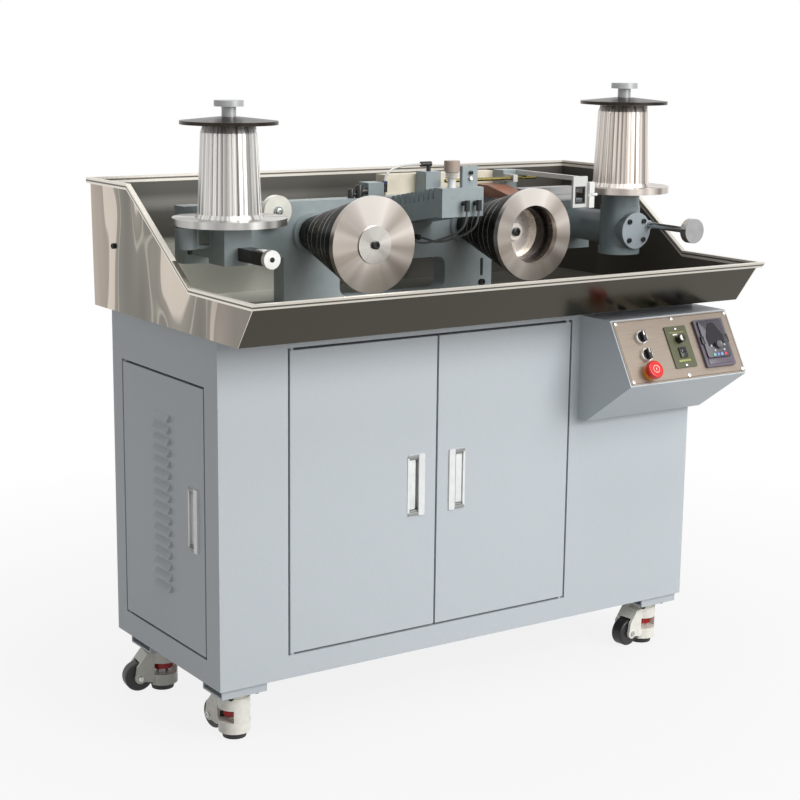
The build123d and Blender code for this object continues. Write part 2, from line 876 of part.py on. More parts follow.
# Main frame. One thick plate with a window, arms to both sides, bearing bosses, and blocks on its top edge.
with BuildPart() as main_frame:
    with BuildSketch(Plane.XZ.offset(-frame_front_y)) as frame_face:
        with BuildLine():
            Polyline(
                (frame_arm_left_x, frame_arm_left_z),
                (frame_foot_left_x, frame_arm_left_z),
                (frame_foot_left_x, tray_floor_z),
                (frame_foot_right_x, tray_floor_z),
                (frame_foot_right_x, frame_arm_right_z),
                (frame_arm_right_x, frame_arm_right_z),
                (frame_arm_right_x, frame_rail_z),
                (frame_rail_x, frame_rail_z),
                (frame_rail_x, frame_step_z),
                (frame_step_x, frame_step_z),
                (frame_step_x, frame_top_z),
                (frame_arm_left_x, frame_top_z),
                close=True,
            )
        make_face()
        window_z = tray_floor_z + window_bottom + window_height / 2
        with Locations(((window_left_x + window_right_x) / 2, window_z)):
            RectangleRounded(window_right_x - window_left_x, window_height, window_radius, mode=Mode.SUBTRACT)
        with Locations((foot_slot_x, tray_floor_z + 30 + foot_slot_length / 2)):
            SlotOverall(foot_slot_length, foot_slot_width, rotation=90, mode=Mode.SUBTRACT)
    extrude(amount=-frame_thickness)
    with BuildSketch(Plane.XZ.offset(-frame_front_y + bearing_boss_front)):
        with Locations((capstan_left_x, capstan_z), (capstan_right_x, capstan_z)):
            Circle(bearing_boss_radius)
    extrude(amount=-(bearing_boss_front + frame_thickness + bearing_boss_back))
    with BuildSketch(Plane.XZ.offset(-frame_front_y + bearing_boss_front)):
        with Locations((capstan_left_x, capstan_z), (capstan_right_x, capstan_z)):
            Circle(capstan_shaft_radius + shaft_clearance)
    extrude(amount=-(bearing_boss_front + frame_thickness), mode=Mode.SUBTRACT)
    for x, height in ((block_left_x, block_left_height), (block_right_x, block_right_height)):
        middle_y = frame_front_y + frame_thickness / 2
        box_between(
            (x - block_size / 2, middle_y - block_size / 2, frame_top_z - 1),
            (x + block_size / 2, middle_y + block_size / 2, frame_top_z + height),
        )
    pulley_back_y = frame_front_y - pulley_stand
    with Locations(Location((pulley_x, frame_front_y, pulley_z), (90, 0, 0))):
        Cylinder(pulley_collar_radius, pulley_stand - seat_gap, align=(Align.CENTER, Align.CENTER, Align.MIN))
        axle_length = pulley_stand + pulley_width + pulley_collar_length + seat_gap
        Cylinder(pulley_axle_radius, axle_length, align=(Align.CENTER, Align.CENTER, Align.MIN))
    with Locations(Location((pulley_x, pulley_back_y - pulley_width - seat_gap, pulley_z), (90, 0, 0))):
        Cylinder(pulley_collar_radius, pulley_collar_length, align=(Align.CENTER, Align.CENTER, Align.MIN))
write(main_frame.part, "main_frame")

with BuildPart() as guide_pulley:
    with BuildSketch(Plane.XY):
        with BuildLine():
            inner = pulley_axle_radius + shaft_clearance
            half = pulley_width / 2
            Polyline(
                (inner, -half),
                (pulley_radius, -half),
                (pulley_radius, -half + 3),
                (pulley_radius - pulley_groove, 0),
                (pulley_radius, half - 3),
                (pulley_radius, half),
                (inner, half),
                close=True,
            )
        make_face()
    revolve(axis=Axis.Y)
pulley_place = Location((pulley_x, pulley_back_y - half, pulley_z))
write(pulley_place * guide_pulley.part, "guide_pulley")


# Drawing cones. Drawn about the world Y axis through their own centre, then moved to their bearings.
def cone_points():
    """The stepped outside of a cone: pairs of radius and y, from the back to the disc."""
    length = capstan_back_y - disc_back_y
    step_length = length / cone_steps
    step_rise = (cone_front_radius - cone_back_radius) / (cone_steps - 1)
    points = []
    for index in range(cone_steps):
        radius = cone_back_radius + index * step_rise
        back = capstan_back_y - index * step_length
        points += [(radius, back), (radius, back - step_length)]
    return points


def cone(bored):
    with BuildPart() as turned:
        with BuildSketch(Plane.XY):
            with BuildLine():
                shaft_end_y = frame_back_y - seat_gap
                inside = [(0, disc_back_y)]
                if bored:
                    floor_y = disc_front_y + bore_depth
                    step_y = disc_front_y + bore_step_depth
                    boss_y = floor_y - bore_boss_height
                    inside = [
                        (ring_bore_radius, disc_back_y),
                        (ring_bore_radius, step_y),
                        (bore_step_radius, step_y),
                        (bore_step_radius, floor_y),
                        (bore_boss_radius, floor_y),
                        (bore_boss_radius, boss_y),
                        (0, boss_y),
                    ]
                Polyline(
                    (0, shaft_end_y),
                    (capstan_shaft_radius, shaft_end_y),
                    (capstan_shaft_radius, capstan_back_y),
                    *cone_points(),
                    *inside,
                    close=True,
                )
            make_face()
        revolve(axis=Axis.Y)
    return turned.part


def capstan_disc(bored):
    with BuildPart() as disc:
        with Locations(Location((0, disc_back_y, 0), (90, 0, 0))):
            Cylinder(disc_radius, disc_thickness, align=(Align.CENTER, Align.CENTER, Align.MIN))
            if bored:
                Cylinder(
                    ring_bore_radius,
                    disc_thickness,
                    align=(Align.CENTER, Align.CENTER, Align.MIN),
                    mode=Mode.SUBTRACT,
                )
        if not bored:
            with Locations(Location((0, disc_front_y, 0), (90, 0, 0))):
                Cylinder(hub_radius, hub_stand, align=(Align.CENTER, Align.CENTER, Align.MIN))
            with Locations(Location((0, disc_front_y - hub_stand, 0), (90, 0, 0))):
                Cylinder(
                    socket_radius,
                    socket_depth,
                    align=(Align.CENTER, Align.CENTER, Align.MAX),
                    mode=Mode.SUBTRACT,
                )
    return disc.part


left_place = Location((capstan_left_x, 0, capstan_z))
right_place = Location((capstan_right_x, 0, capstan_z))
write(left_place * cone(False), "capstan_left_cone")
write(left_place * capstan_disc(False), "capstan_left_disc")
write(right_place * cone(True), "capstan_right_cone")
write(right_place * capstan_disc(True), "capstan_right_ring")


# Spools. Each is drawn with its base flange's top at z = 0.
def fluted_ring(radius):
    """The corners of one ring of flutes: the two edges of a land and the bottom of the hollow after it."""
    points = []
    pitch = 2 * pi / flute_count
    for index in range(flute_count):
        for share, reach in ((0, radius), (flute_land, radius), ((1 + flute_land) / 2, radius - flute_depth)):
            angle = (index + share) * pitch
            points.append((reach * cos(angle), reach * sin(angle)))
    return points


def spool(flange_radius):
    """A base flange and the fluted drum that tapers up from it, bored for the spindle."""
    shoulder_z = drum_height - drum_shoulder_height
    levels = ((0, drum_bottom_radius), (shoulder_z, drum_shoulder_radius), (drum_height, drum_top_radius))
    with BuildPart() as whole:
        with BuildSketch(Plane.XY.offset(-spool_flange_thickness)):
            Circle(flange_radius)
        extrude(amount=spool_flange_thickness)
        with BuildSketch(Plane.XY):
            Circle(drum_foot_radius)
        extrude(amount=drum_foot_height, taper=25)
        for level, radius in levels:
            with BuildSketch(Plane.XY.offset(level)):
                with BuildLine():
                    Polyline(*fluted_ring(radius), close=True)
                make_face()
        loft(ruled=True)
        with BuildSketch(Plane.XY.offset(-spool_flange_thickness)):
            Circle(spindle_radius + seat_gap)
        extrude(amount=spool_flange_thickness + drum_height, mode=Mode.SUBTRACT)
    return whole.part


with BuildPart() as cap_plate:
    with BuildSketch(Plane.XZ):
        with BuildLine():
            Polyline(
                (spindle_radius + seat_gap, drum_height),
                (drum_top_radius, drum_height),
                (cap_plate_radius, drum_height + 3),
                (cap_plate_radius, drum_height + 3 + cap_plate_rim),
                (knob_stem_radius + 8, drum_height + 3 + cap_plate_dome),
                (spindle_radius + seat_gap, drum_height + 3 + cap_plate_dome),
                close=True,
            )
        make_face()
    revolve(axis=Axis.Z)

with BuildPart() as spindle:
    stem_z = drum_height + 3 + cap_plate_dome
    foot_z = -spool_flange_thickness - running_gap - spindle_socket_depth + running_gap
    with Locations((0, 0, foot_z)):
        Cylinder(spindle_radius, stem_z - foot_z, align=(Align.CENTER, Align.CENTER, Align.MIN))
    with Locations((0, 0, stem_z)):
        Cylinder(knob_stem_radius, knob_stem_height, align=(Align.CENTER, Align.CENTER, Align.MIN))
    with Locations((0, 0, stem_z + knob_stem_height)):
        Cylinder(knob_radius, knob_height, align=(Align.CENTER, Align.CENTER, Align.MIN))

spool_places = {
    "payoff": Location((payoff_x, payoff_y, payoff_flange_z)),
    "takeup": Location((takeup_x, takeup_y, takeup_flange_z)),
}
for name, place in spool_places.items():
    write(place * spool(spool_flange_radius[name]), f"{name}_spool")
    write(place * cap_plate.part, f"{name}_cap_plate")
    write(place * spindle.part, f"{name}_spindle")

# Payoff stand. A square pillar on an arm from the frame, with the round brake housing at its side.
pillar_top_z = payoff_flange_z - spool_flange_thickness - running_gap
pillar_front_y = payoff_y - pillar_depth / 2
pillar_left_x = payoff_x - pillar_width / 2
spindle_bore = spindle_radius + shaft_clearance
with BuildPart() as payoff_stand:
    box_between(
        (pillar_left_x, pillar_front_y, pillar_bottom_z),
        (pillar_left_x + pillar_width, pillar_front_y + pillar_depth, pillar_top_z),
    )
    box_between(
        (payoff_x - arm_width / 2, pillar_front_y + pillar_depth - 1, arm_bottom_z),
        (payoff_x + arm_width / 2, frame_front_y, arm_top_z),
    )
    with Locations((brake_x, brake_y, brake_bottom_z)):
        Cylinder(brake_radius, pillar_top_z - brake_bottom_z, align=(Align.CENTER, Align.CENTER, Align.MIN))
    box_between(
        (brake_x, brake_y - brake_web_thickness / 2, brake_bottom_z),
        (pillar_left_x + 1, brake_y + brake_web_thickness / 2, pillar_top_z),
    )
    with Locations(((brake_x + brake_radius + pillar_left_x) / 2, brake_y, (brake_bottom_z + pillar_top_z) / 2)):
        Box(brake_window_width, brake_web_thickness + 2, brake_window_height, mode=Mode.SUBTRACT)
    with Locations((payoff_x, payoff_y, pillar_top_z)):
        Cylinder(
            spindle_bore,
            spindle_socket_depth,
            align=(Align.CENTER, Align.CENTER, Align.MAX),
            mode=Mode.SUBTRACT,
        )
write(payoff_stand.part, "payoff_stand")

with BuildPart() as tension_bar:
    bar_front_y = pillar_front_y - tension_length
    box_between(
        (tension_x - tension_width / 2, bar_front_y, tension_z - tension_height / 2),
        (tension_x + tension_width / 2, pillar_front_y, tension_z + tension_height / 2),
    )
    with Locations(Location((tension_x, bar_front_y, tension_z), (90, 0, 0))):
        Cylinder(tension_end_radius, tension_end_length, align=(Align.CENTER, Align.CENTER, Align.MIN))
write(tension_bar.part, "tension_bar")

# Take-up gearbox. An upright round housing on a level tube from the frame, with a bolted cap in front.
gearbox_top_z = takeup_flange_z - spool_flange_thickness - running_gap
cap_front_y = takeup_y - cap_reach
handle_boss_y = cap_front_y - 1
with BuildPart() as takeup_gearbox:
    with Locations((takeup_x, takeup_y, gearbox_bottom_z)):
        upright = Align.CENTER, Align.CENTER, Align.MIN
        Cylinder(gearbox_foot_radius, gearbox_foot_height, align=upright)
        Cylinder(gearbox_radius, gearbox_ring_z - gearbox_bottom_z, align=upright)
        Cylinder(gearbox_ring_radius, gearbox_top_z - gearbox_bottom_z, align=upright)
    with Locations(Location((takeup_x, frame_front_y, tube_z), (90, 0, 0))):
        Cylinder(tube_radius, frame_front_y - takeup_y, align=(Align.CENTER, Align.CENTER, Align.MIN))
    with Locations(Location((takeup_x, takeup_y, tube_z), (90, 0, 0))):
        Cylinder(cap_boss_radius, cap_reach - cap_thickness, align=(Align.CENTER, Align.CENTER, Align.MIN))
    with Locations(Location((takeup_x, cap_front_y + cap_thickness, tube_z), (90, 0, 0))):
        Cylinder(cap_radius, cap_thickness, align=(Align.CENTER, Align.CENTER, Align.MIN))
    with Locations(Location((handle_x, takeup_y, handle_z), (90, 0, 0))):
        Cylinder(handle_boss_radius, takeup_y - handle_boss_y, align=(Align.CENTER, Align.CENTER, Align.MIN))
    with Locations((takeup_x, takeup_y, gearbox_top_z)):
        Cylinder(
            spindle_bore,
            spindle_socket_depth,
            align=(Align.CENTER, Align.CENTER, Align.MAX),
            mode=Mode.SUBTRACT,
        )
write(takeup_gearbox.part, "takeup_gearbox")

with BuildPart() as takeup_handle:
    with Locations(Location((handle_x, handle_boss_y, handle_z), (90, 0, 0))):
        Cylinder(handle_rod_radius, handle_rod_length, align=(Align.CENTER, Align.CENTER, Align.MIN))
    with Locations(Location((handle_x, handle_boss_y - handle_rod_length, handle_z), (90, 0, 0))):
        Cylinder(handle_knob_radius, handle_knob_length, align=(Align.CENTER, Align.CENTER, Align.MIN))
write(takeup_handle.part, "takeup_handle")

# Die box. A trough on a slope that rises to the front, with a slot in each long wall at every die.
die_front_y = frame_front_y - die_box_length
slope = die_box_rise / (die_box_length - die_box_end)
front_bottom_z = die_box_back_bottom_z + die_box_rise
front_top_z = front_bottom_z + die_box_height
with BuildPart() as die_box:
    with BuildSketch(Plane.YZ.offset(die_box_left_x)):
        with BuildLine():
            Polyline(
                (frame_front_y, die_box_back_bottom_z),
                (frame_front_y, die_box_back_bottom_z + die_box_height),
                (die_front_y + die_box_end, front_top_z),
                (die_front_y, front_top_z),
                (die_front_y, front_bottom_z),
                (die_front_y + die_box_end, front_bottom_z),
                close=True,
            )
        make_face()
    extrude(amount=die_box_width)
    with BuildSketch(Plane.YZ.offset(die_box_left_x + die_box_wall)):
        back_y = frame_front_y - die_box_wall
        front_y = die_front_y + die_box_end
        floor_back = die_box_back_bottom_z + die_box_floor + slope * die_box_wall
        with BuildLine():
            Polyline(
                (back_y, floor_back),
                (back_y, front_top_z + 5),
                (front_y, front_top_z + 5),
                (front_y, front_bottom_z + die_box_floor),
                close=True,
            )
        make_face()
    extrude(amount=die_box_width - 2 * die_box_wall, mode=Mode.SUBTRACT)
    for index in range(die_slots):
        slot_y = die_front_y + die_box_end + (index + 0.5) * die_slot_pitch
        slot_top = front_top_z - slope * (slot_y - die_front_y - die_box_end)
        box_between(
            (die_box_left_x - 1, slot_y - die_slot_width / 2, slot_top - die_slot_depth),
            (die_box_left_x + die_box_width + 1, slot_y + die_slot_width / 2, slot_top + 5),
            mode=Mode.SUBTRACT,
        )
    box_between(
        (die_plate_x - die_plate_width / 2, die_front_y + 2, front_top_z - 1),
        (die_plate_x + die_plate_width / 2, die_front_y + 2 + die_plate_thickness, front_top_z + die_plate_height),
    )
write(die_box.part, "die_box")

valve_y = die_front_y + die_box_end / 2
with BuildPart() as lubricant_valve:
    level_z = front_top_z
    for radius, height in (
        (valve_neck_radius, valve_neck_height),
        (valve_body_radius, valve_body_height),
        (valve_cap_radius, valve_cap_height),
    ):
        with Locations((valve_x, valve_y, level_z)):
            Cylinder(radius, height, align=(Align.CENTER, Align.CENTER, Align.MIN))
        level_z += height
write(lubricant_valve.part, "lubricant_valve")


# Push-in elbows. Each leaves its face along a direction and turns down.
def elbow(x, y, z):
    """An elbow on a face that looks to -Y, its outlet pointing down."""
    with Locations(Location((x, y, z), (90, 0, 0))):
        Cylinder(fitting_neck_radius, fitting_reach, align=(Align.CENTER, Align.CENTER, Align.MIN))
    with Locations((x, y - fitting_reach, z + fitting_radius + 1)):
        body = fitting_drop + fitting_radius + 1
        Cylinder(fitting_radius, body, align=(Align.CENTER, Align.CENTER, Align.MAX))


outlet_z = fitting_z - fitting_drop
outlet_y = die_front_y - fitting_reach
tube_port_x = {fitting_left_x: -3.0, fitting_right_x: 37.0}
tube_port_z = tray_floor_z + 129.5
top_port_z = frame_top_z + block_right_height
side_port_x = block_left_x + block_size / 2
side_port_z = frame_top_z + block_left_height / 2
port_y = frame_front_y + frame_thickness / 2
with BuildPart() as lubricant_fittings:
    for x in (fitting_left_x, fitting_right_x):
        elbow(x, die_front_y, fitting_z)
    for x in tube_port_x.values():
        with Locations(Location((x, frame_front_y, tube_port_z), (90, 0, 0))):
            Cylinder(fitting_radius, fitting_reach, align=(Align.CENTER, Align.CENTER, Align.MIN))
    with Locations((block_right_x, port_y, top_port_z)):
        Cylinder(fitting_neck_radius, fitting_drop, align=(Align.CENTER, Align.CENTER, Align.MIN))
    with Locations(Location((block_right_x + fitting_radius, port_y, top_port_z + fitting_drop), (0, -90, 0))):
        Cylinder(fitting_radius, fitting_reach + 2 * fitting_radius, align=(Align.CENTER, Align.CENTER, Align.MIN))
    with Locations(Location((side_port_x, port_y, side_port_z), (0, 90, 0))):
        Cylinder(fitting_neck_radius, fitting_reach, align=(Align.CENTER, Align.CENTER, Align.MIN))
    with Locations((side_port_x + fitting_reach, port_y, side_port_z - fitting_radius - 1)):
        Cylinder(fitting_radius, fitting_drop + fitting_radius + 1, align=(Align.CENTER, Align.CENTER, Align.MIN))
write(lubricant_fittings.part, "lubricant_fittings")


def hose(points, radii):
    """A soft clear tube: straight runs joined by tangent arcs."""
    with BuildPart() as run:
        with BuildLine():
            path = FilletPolyline(*points, radius=radii)
        with BuildSketch(Plane(origin=path @ 0, z_dir=path % 0)):
            Circle(hose_radius)
        sweep(path=path)
    return run.part


port_face_y = frame_front_y - fitting_reach
hoses = []
for x, port_x in tube_port_x.items():
    route = [
        (x, outlet_y, outlet_z),
        (x, outlet_y, outlet_z - 30),
        (x + 4, outlet_y + 55, outlet_z - 58),
        (port_x + 10, port_face_y - 60, tube_port_z - 8),
        (port_x, port_face_y - 28, tube_port_z),
        (port_x, port_face_y, tube_port_z),
    ]
    hoses.append(hose(route, [24, 40, 40, 24]))
top_outlet_x = block_right_x - fitting_reach - fitting_radius
top_outlet_z = top_port_z + fitting_drop
side_outlet_x = side_port_x + fitting_reach
side_outlet_z = side_port_z + fitting_drop
top_route = [
    (top_outlet_x, port_y, top_outlet_z),
    (side_outlet_x + 32, port_y, top_outlet_z),
    (side_outlet_x, port_y, side_outlet_z + 14),
    (side_outlet_x, port_y, side_outlet_z),
]
hoses.append(hose(top_route, [34, 18]))
write(Compound(children=hoses), "lubricant_tubes")

# Rear guard, guide block and spray pipe
with BuildPart() as rear_guard:
    guard_corner = (guard_left_x, frame_back_y, guard_bottom_z)
    box_between(guard_corner, (guard_right_x, frame_back_y + guard_depth, guard_top_z))
    with Locations(Location((capstan_right_x, frame_back_y, capstan_z), (90, 0, 0))):
        Cylinder(bearing_boss_radius + seat_gap, 2 * bearing_boss_back + 1, mode=Mode.SUBTRACT)
write(rear_guard.part, "rear_guard")

guide_back_y = frame_back_y - 11
with BuildPart() as wire_guide_block:
    with BuildSketch(Plane.YZ.offset(guide_block_x - guide_block_width / 2)):
        with BuildLine():
            Polyline(
                (guide_back_y, frame_step_z),
                (guide_back_y, frame_step_z + guide_block_height),
                (guide_back_y - guide_block_flat, frame_step_z + guide_block_height),
                (guide_block_tip_y, frame_step_z + guide_block_tip),
                (guide_block_tip_y, frame_step_z),
                close=True,
            )
        make_face()
    extrude(amount=guide_block_width)
write(wire_guide_block.part, "wire_guide_block")

with BuildPart() as spray_pipe:
    with Locations(Location((pipe_left_x, pipe_y, pipe_z), (0, 90, 0))):
        Cylinder(pipe_radius, pipe_right_x - pipe_left_x, align=(Align.CENTER, Align.CENTER, Align.MIN))
write(spray_pipe.part, "spray_pipe")

# Traverse. A block on the frame carries the rail and the arm whose front plate holds the rollers.
traverse_top_z = frame_step_z + traverse_block_height
arm_x = traverse_block_right_x + traverse_arm_width / 2
plate_back_y = traverse_arm_front_y
with BuildPart() as traverse_slide:
    box_between(
        (traverse_block_left_x, traverse_block_front_y, frame_step_z),
        (traverse_block_right_x, frame_back_y, traverse_top_z),
    )
    lug_x = traverse_block_left_x + 2
    box_between(
        (lug_x, pipe_y - pipe_radius - 4, pipe_z - pipe_radius - 4),
        (lug_x + traverse_lug_width, traverse_block_front_y + 1, pipe_z + pipe_radius + 4),
    )
    with Locations(Location((lug_x + traverse_lug_width / 2, pipe_y, pipe_z), (0, 90, 0))):
        Cylinder(pipe_radius + pipe_clearance, traverse_lug_width + 2, mode=Mode.SUBTRACT)
    box_between(
        (traverse_block_right_x - 1, traverse_arm_front_y, traverse_top_z - traverse_arm_height),
        (traverse_block_right_x + traverse_arm_width, frame_back_y - 10, traverse_top_z),
    )
    box_between(
        (arm_x - traverse_plate_width / 2, plate_back_y - traverse_plate_thickness, traverse_plate_bottom_z),
        (arm_x + traverse_plate_width / 2, plate_back_y, traverse_top_z),
    )
    with Locations((arm_x, plate_back_y - traverse_plate_thickness / 2, traverse_plate_bottom_z + 27)):
        Box(traverse_window_width, traverse_plate_thickness + 2, traverse_window_height, mode=Mode.SUBTRACT)
write(traverse_slide.part, "traverse_slide")

with BuildPart() as traverse_rail:
    rail_front_y = frame_back_y - rail_depth
    box_between(
        (frame_rail_x, rail_front_y, frame_rail_z),
        (rail_right_x, frame_back_y, frame_rail_z + rail_height),
    )
    box_between(
        (frame_rail_x, rail_front_y, frame_rail_z + rail_height / 2 - rail_groove / 2),
        (rail_right_x, rail_front_y + rail_groove, frame_rail_z + rail_height / 2 + rail_groove / 2),
        mode=Mode.SUBTRACT,
    )
write(traverse_rail.part, "traverse_rail")

roller_left_x = arm_x + traverse_plate_width / 2
roller_middle_z = traverse_plate_bottom_z + 27
with BuildPart() as traverse_rollers:
    for low_z in (roller_middle_z - 3 - roller_height, roller_middle_z + 3):
        box_between(
            (roller_left_x, plate_back_y - roller_width, low_z),
            (roller_left_x + roller_width, plate_back_y, low_z + roller_height),
        )
    with Locations(Location((roller_left_x, plate_back_y - roller_width / 2, roller_middle_z), (0, 90, 0))):
        Cylinder(roller_rod_radius, roller_rod_length, align=(Align.CENTER, Align.CENTER, Align.MIN))
write(traverse_rollers.part, "traverse_rollers")
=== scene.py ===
"""Wire drawing machine: the looks of a cabinet on levelling casters, its tray and the drawing gear on it."""

from math import atan2, cos, radians, sin

import bpy
from mathutils import Matrix, Vector


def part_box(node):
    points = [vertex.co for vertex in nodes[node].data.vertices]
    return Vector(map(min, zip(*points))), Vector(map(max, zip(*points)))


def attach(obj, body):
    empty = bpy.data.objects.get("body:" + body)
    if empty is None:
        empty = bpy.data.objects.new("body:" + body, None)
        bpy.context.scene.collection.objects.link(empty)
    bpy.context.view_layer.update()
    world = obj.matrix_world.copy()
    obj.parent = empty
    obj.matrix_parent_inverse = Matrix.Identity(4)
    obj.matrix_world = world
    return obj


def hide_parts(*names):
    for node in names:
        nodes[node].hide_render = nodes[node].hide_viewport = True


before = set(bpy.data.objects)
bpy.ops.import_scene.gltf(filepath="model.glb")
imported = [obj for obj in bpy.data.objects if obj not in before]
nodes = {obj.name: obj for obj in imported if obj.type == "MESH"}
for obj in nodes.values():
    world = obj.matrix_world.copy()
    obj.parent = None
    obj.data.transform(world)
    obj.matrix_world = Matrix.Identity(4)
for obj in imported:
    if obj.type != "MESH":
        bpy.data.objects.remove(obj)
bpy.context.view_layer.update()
bpy.ops.object.select_all(action="DESELECT")

# Camera and light.
# The camera stands at the machine's front left at chest height, with a long lens.
# A large soft lamp at the front right lights the doors, so the left end falls into a soft shade.
bpy.ops.object.camera_add(location=(-2.166997, -3.088144, 1.399206))
camera = bpy.context.object
camera.data.sensor_width = 36.0
camera.data.lens = 78.89
right = Vector((0.82994377, -0.55773517, 0.01117232))
forward = Vector((0.5482091, 0.81173443, -0.20138024))
up = right.cross(forward)
camera.rotation_euler = Matrix((right, up, -forward)).transposed().to_euler()
bpy.context.scene.camera = camera
bpy.context.scene.view_settings.view_transform = "Standard"

for place, aim, size, power in (
    ((1.5, -4.3, 3.0), (0.1, 0.0, 0.7), 3.0, 212.0),
    ((0.1, -1.0, 4.2), (0.0, 0.1, 0.9), 2.4, 80.0),
):
    bpy.ops.object.light_add(type="AREA", location=place)
    lamp = bpy.context.object
    lamp.data.size = size
    lamp.data.energy = power
    lamp.rotation_euler = (Vector(aim) - Vector(place)).to_track_quat("-Z", "Y").to_euler()


def joined(tree, kind, sockets, output=0, **settings):
    """Add a shader node whose sockets get values or other nodes' outputs, and give one of its outputs."""
    made = tree.nodes.new("ShaderNode" + kind)
    for setting, value in settings.items():
        setattr(made, setting, value)
    for socket, value in sockets.items():
        if isinstance(value, bpy.types.NodeSocket):
            tree.links.new(value, made.inputs[socket])
        else:
            made.inputs[socket].default_value = value
    return made.outputs[output]


def seen_white(tree):
    """One where the camera, a mirror or clear plastic sees the backdrop itself, and nought for its light."""
    path = tree.nodes.new("ShaderNodeLightPath").outputs
    seen = joined(tree, "Math", {0: path["Is Camera Ray"], 1: path["Is Glossy Ray"]}, operation="MAXIMUM")
    return joined(tree, "Math", {0: seen, 1: path["Is Transmission Ray"]}, operation="MAXIMUM")


def graded(tree, value, start, end, first, last):
    """A level that goes from first to last while a value goes from start to end, and keeps still beyond."""
    places = {"From Min": start, "From Max": end, "To Min": first, "To Max": last}
    return joined(tree, "MapRange", {"Value": value, **places})


world = bpy.data.worlds.new("studio")
bpy.context.scene.world = world
world.use_nodes = True
sky = world.node_tree
level = graded(sky, seen_white(sky), 0.0, 1.0, 0.30, 1.0)
sky.links.new(level, sky.nodes["Background"].inputs["Strength"])
sky.nodes["Background"].inputs["Color"].default_value = (1.0, 1.0, 1.0, 1.0)

# Floor.
# A plain pale workshop floor, which catches the machine's soft shadow and fades into the white backdrop.
bpy.ops.mesh.primitive_plane_add(size=40.0)
floor = bpy.context.object
floor.name = "floor"
floor_paint = bpy.data.materials.new("floor_paint")
floor_paint.use_nodes = True
tree = floor_paint.node_tree
paint = tree.nodes["Principled BSDF"]
paint.inputs["Base Color"].default_value = (0.42, 0.42, 0.42, 1.0)
paint.inputs["Roughness"].default_value = 0.9
spot = joined(tree, "TexCoord", {}, "Object")
away = joined(tree, "VectorMath", {0: spot}, "Value", operation="LENGTH")
fade = graded(tree, away, 0.6, 2.2, 0.86, 1.0)
fade = joined(tree, "Math", {0: fade, 1: seen_white(tree)}, operation="MULTIPLY")
bright = joined(tree, "Emission", {"Color": (1.0, 1.0, 1.0, 1.0), "Strength": 1.0})
blend = joined(tree, "MixShader", {0: fade, 1: paint.outputs["BSDF"], 2: bright})
tree.links.new(blend, tree.nodes["Material Output"].inputs["Surface"])
floor.data.materials.append(floor_paint)
bpy.ops.object.select_all(action="DESELECT")


# Casters.
# Each has a cream cast body on a channel under the cabinet, a red thumbwheel that lowers a black rubber pad,
# and a black nylon wheel beside it.
def shader_in(tree):
    """The shader of a finish."""
    return tree.nodes["Principled BSDF"]


def ramp(tree, value, stops):
    """Colours along a value, as pairs of place and colour."""
    bar = tree.nodes.new("ShaderNodeValToRGB")
    elements = bar.color_ramp.elements
    elements[0].position, elements[0].color = stops[0][0], (*stops[0][1], 1.0)
    elements[1].position, elements[1].color = stops[-1][0], (*stops[-1][1], 1.0)
    for place, colour in stops[1:-1]:
        elements.new(place).color = (*colour, 1.0)
    tree.links.new(value, bar.inputs["Fac"])
    return bar.outputs["Color"]


def coat(
    name, colour, roughness, metal=0.0, grain=(1.0, 1.0, 1.0), scale=40.0, shift=0.06, depth=0.02, wear=0.05
):
    """A finish whose colour and gloss wander a little along the grain, with a fine relief."""
    material = bpy.data.materials.new(name)
    material.use_nodes = True
    tree = material.node_tree
    shader = shader_in(tree)
    shader.inputs["Metallic"].default_value = metal
    stretch = joined(tree, "Mapping", {"Vector": joined(tree, "TexCoord", {}, "Object"), "Scale": grain})
    noise = joined(tree, "TexNoise", {"Vector": stretch, "Scale": scale, "Detail": 6.0})
    low = [max(0.0, c * (1 - shift)) for c in colour]
    high = [min(1.0, c * (1 + shift)) for c in colour]
    gloss = graded(tree, noise, 0.0, 1.0, max(0.02, roughness - wear), roughness + wear)
    relief = joined(tree, "Bump", {"Height": noise, "Strength": depth, "Distance": 0.001})
    tree.links.new(ramp(tree, noise, ((0.3, low), (0.7, high))), shader.inputs["Base Color"])
    tree.links.new(gloss, shader.inputs["Roughness"])
    tree.links.new(relief, shader.inputs["Normal"])
    return material


def dress(node, material):
    """Give a CAD piece its finish."""
    nodes[node].data.materials.clear()
    nodes[node].data.materials.append(material)


def pick(wanted):
    """In edit mode, select only the faces of the piece in hand that fit a test."""
    piece = bpy.context.object
    bpy.ops.object.mode_set(mode="EDIT")
    bpy.ops.mesh.select_mode(type="FACE")
    bpy.ops.mesh.select_all(action="DESELECT")
    bpy.ops.object.mode_set(mode="OBJECT")
    for face in piece.data.polygons:
        face.select = wanted(face)
    bpy.ops.object.mode_set(mode="EDIT")


def on_top(face):
    """Whether a face looks up."""
    return face.normal.z > 0.9


def on_side(face):
    """Whether a face looks sideways."""
    return abs(face.normal.z) < 0.5


def settle(name, material, body, at=(0.0, 0.0, 0.0), facing=(0.0, 0.0, 1.0)):
    """Name the piece in hand, turn it from +Z to where it faces, and seat it on its body."""
    if bpy.context.object.mode != "OBJECT":
        bpy.ops.object.mode_set(mode="OBJECT")
    piece = bpy.context.object
    piece.name = name
    piece.data.name = name
    turn = Vector(facing).to_track_quat("Z", "Y").to_matrix()
    piece.matrix_world = Matrix.Translation(at) @ turn.to_4x4() @ piece.matrix_world
    bpy.ops.object.transform_apply(location=True, rotation=True, scale=True)
    bpy.ops.object.shade_smooth_by_angle(angle=radians(35.0))
    piece.data.materials.clear()
    piece.data.materials.append(material)
    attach(piece, body)
    piece.select_set(False)
    return piece


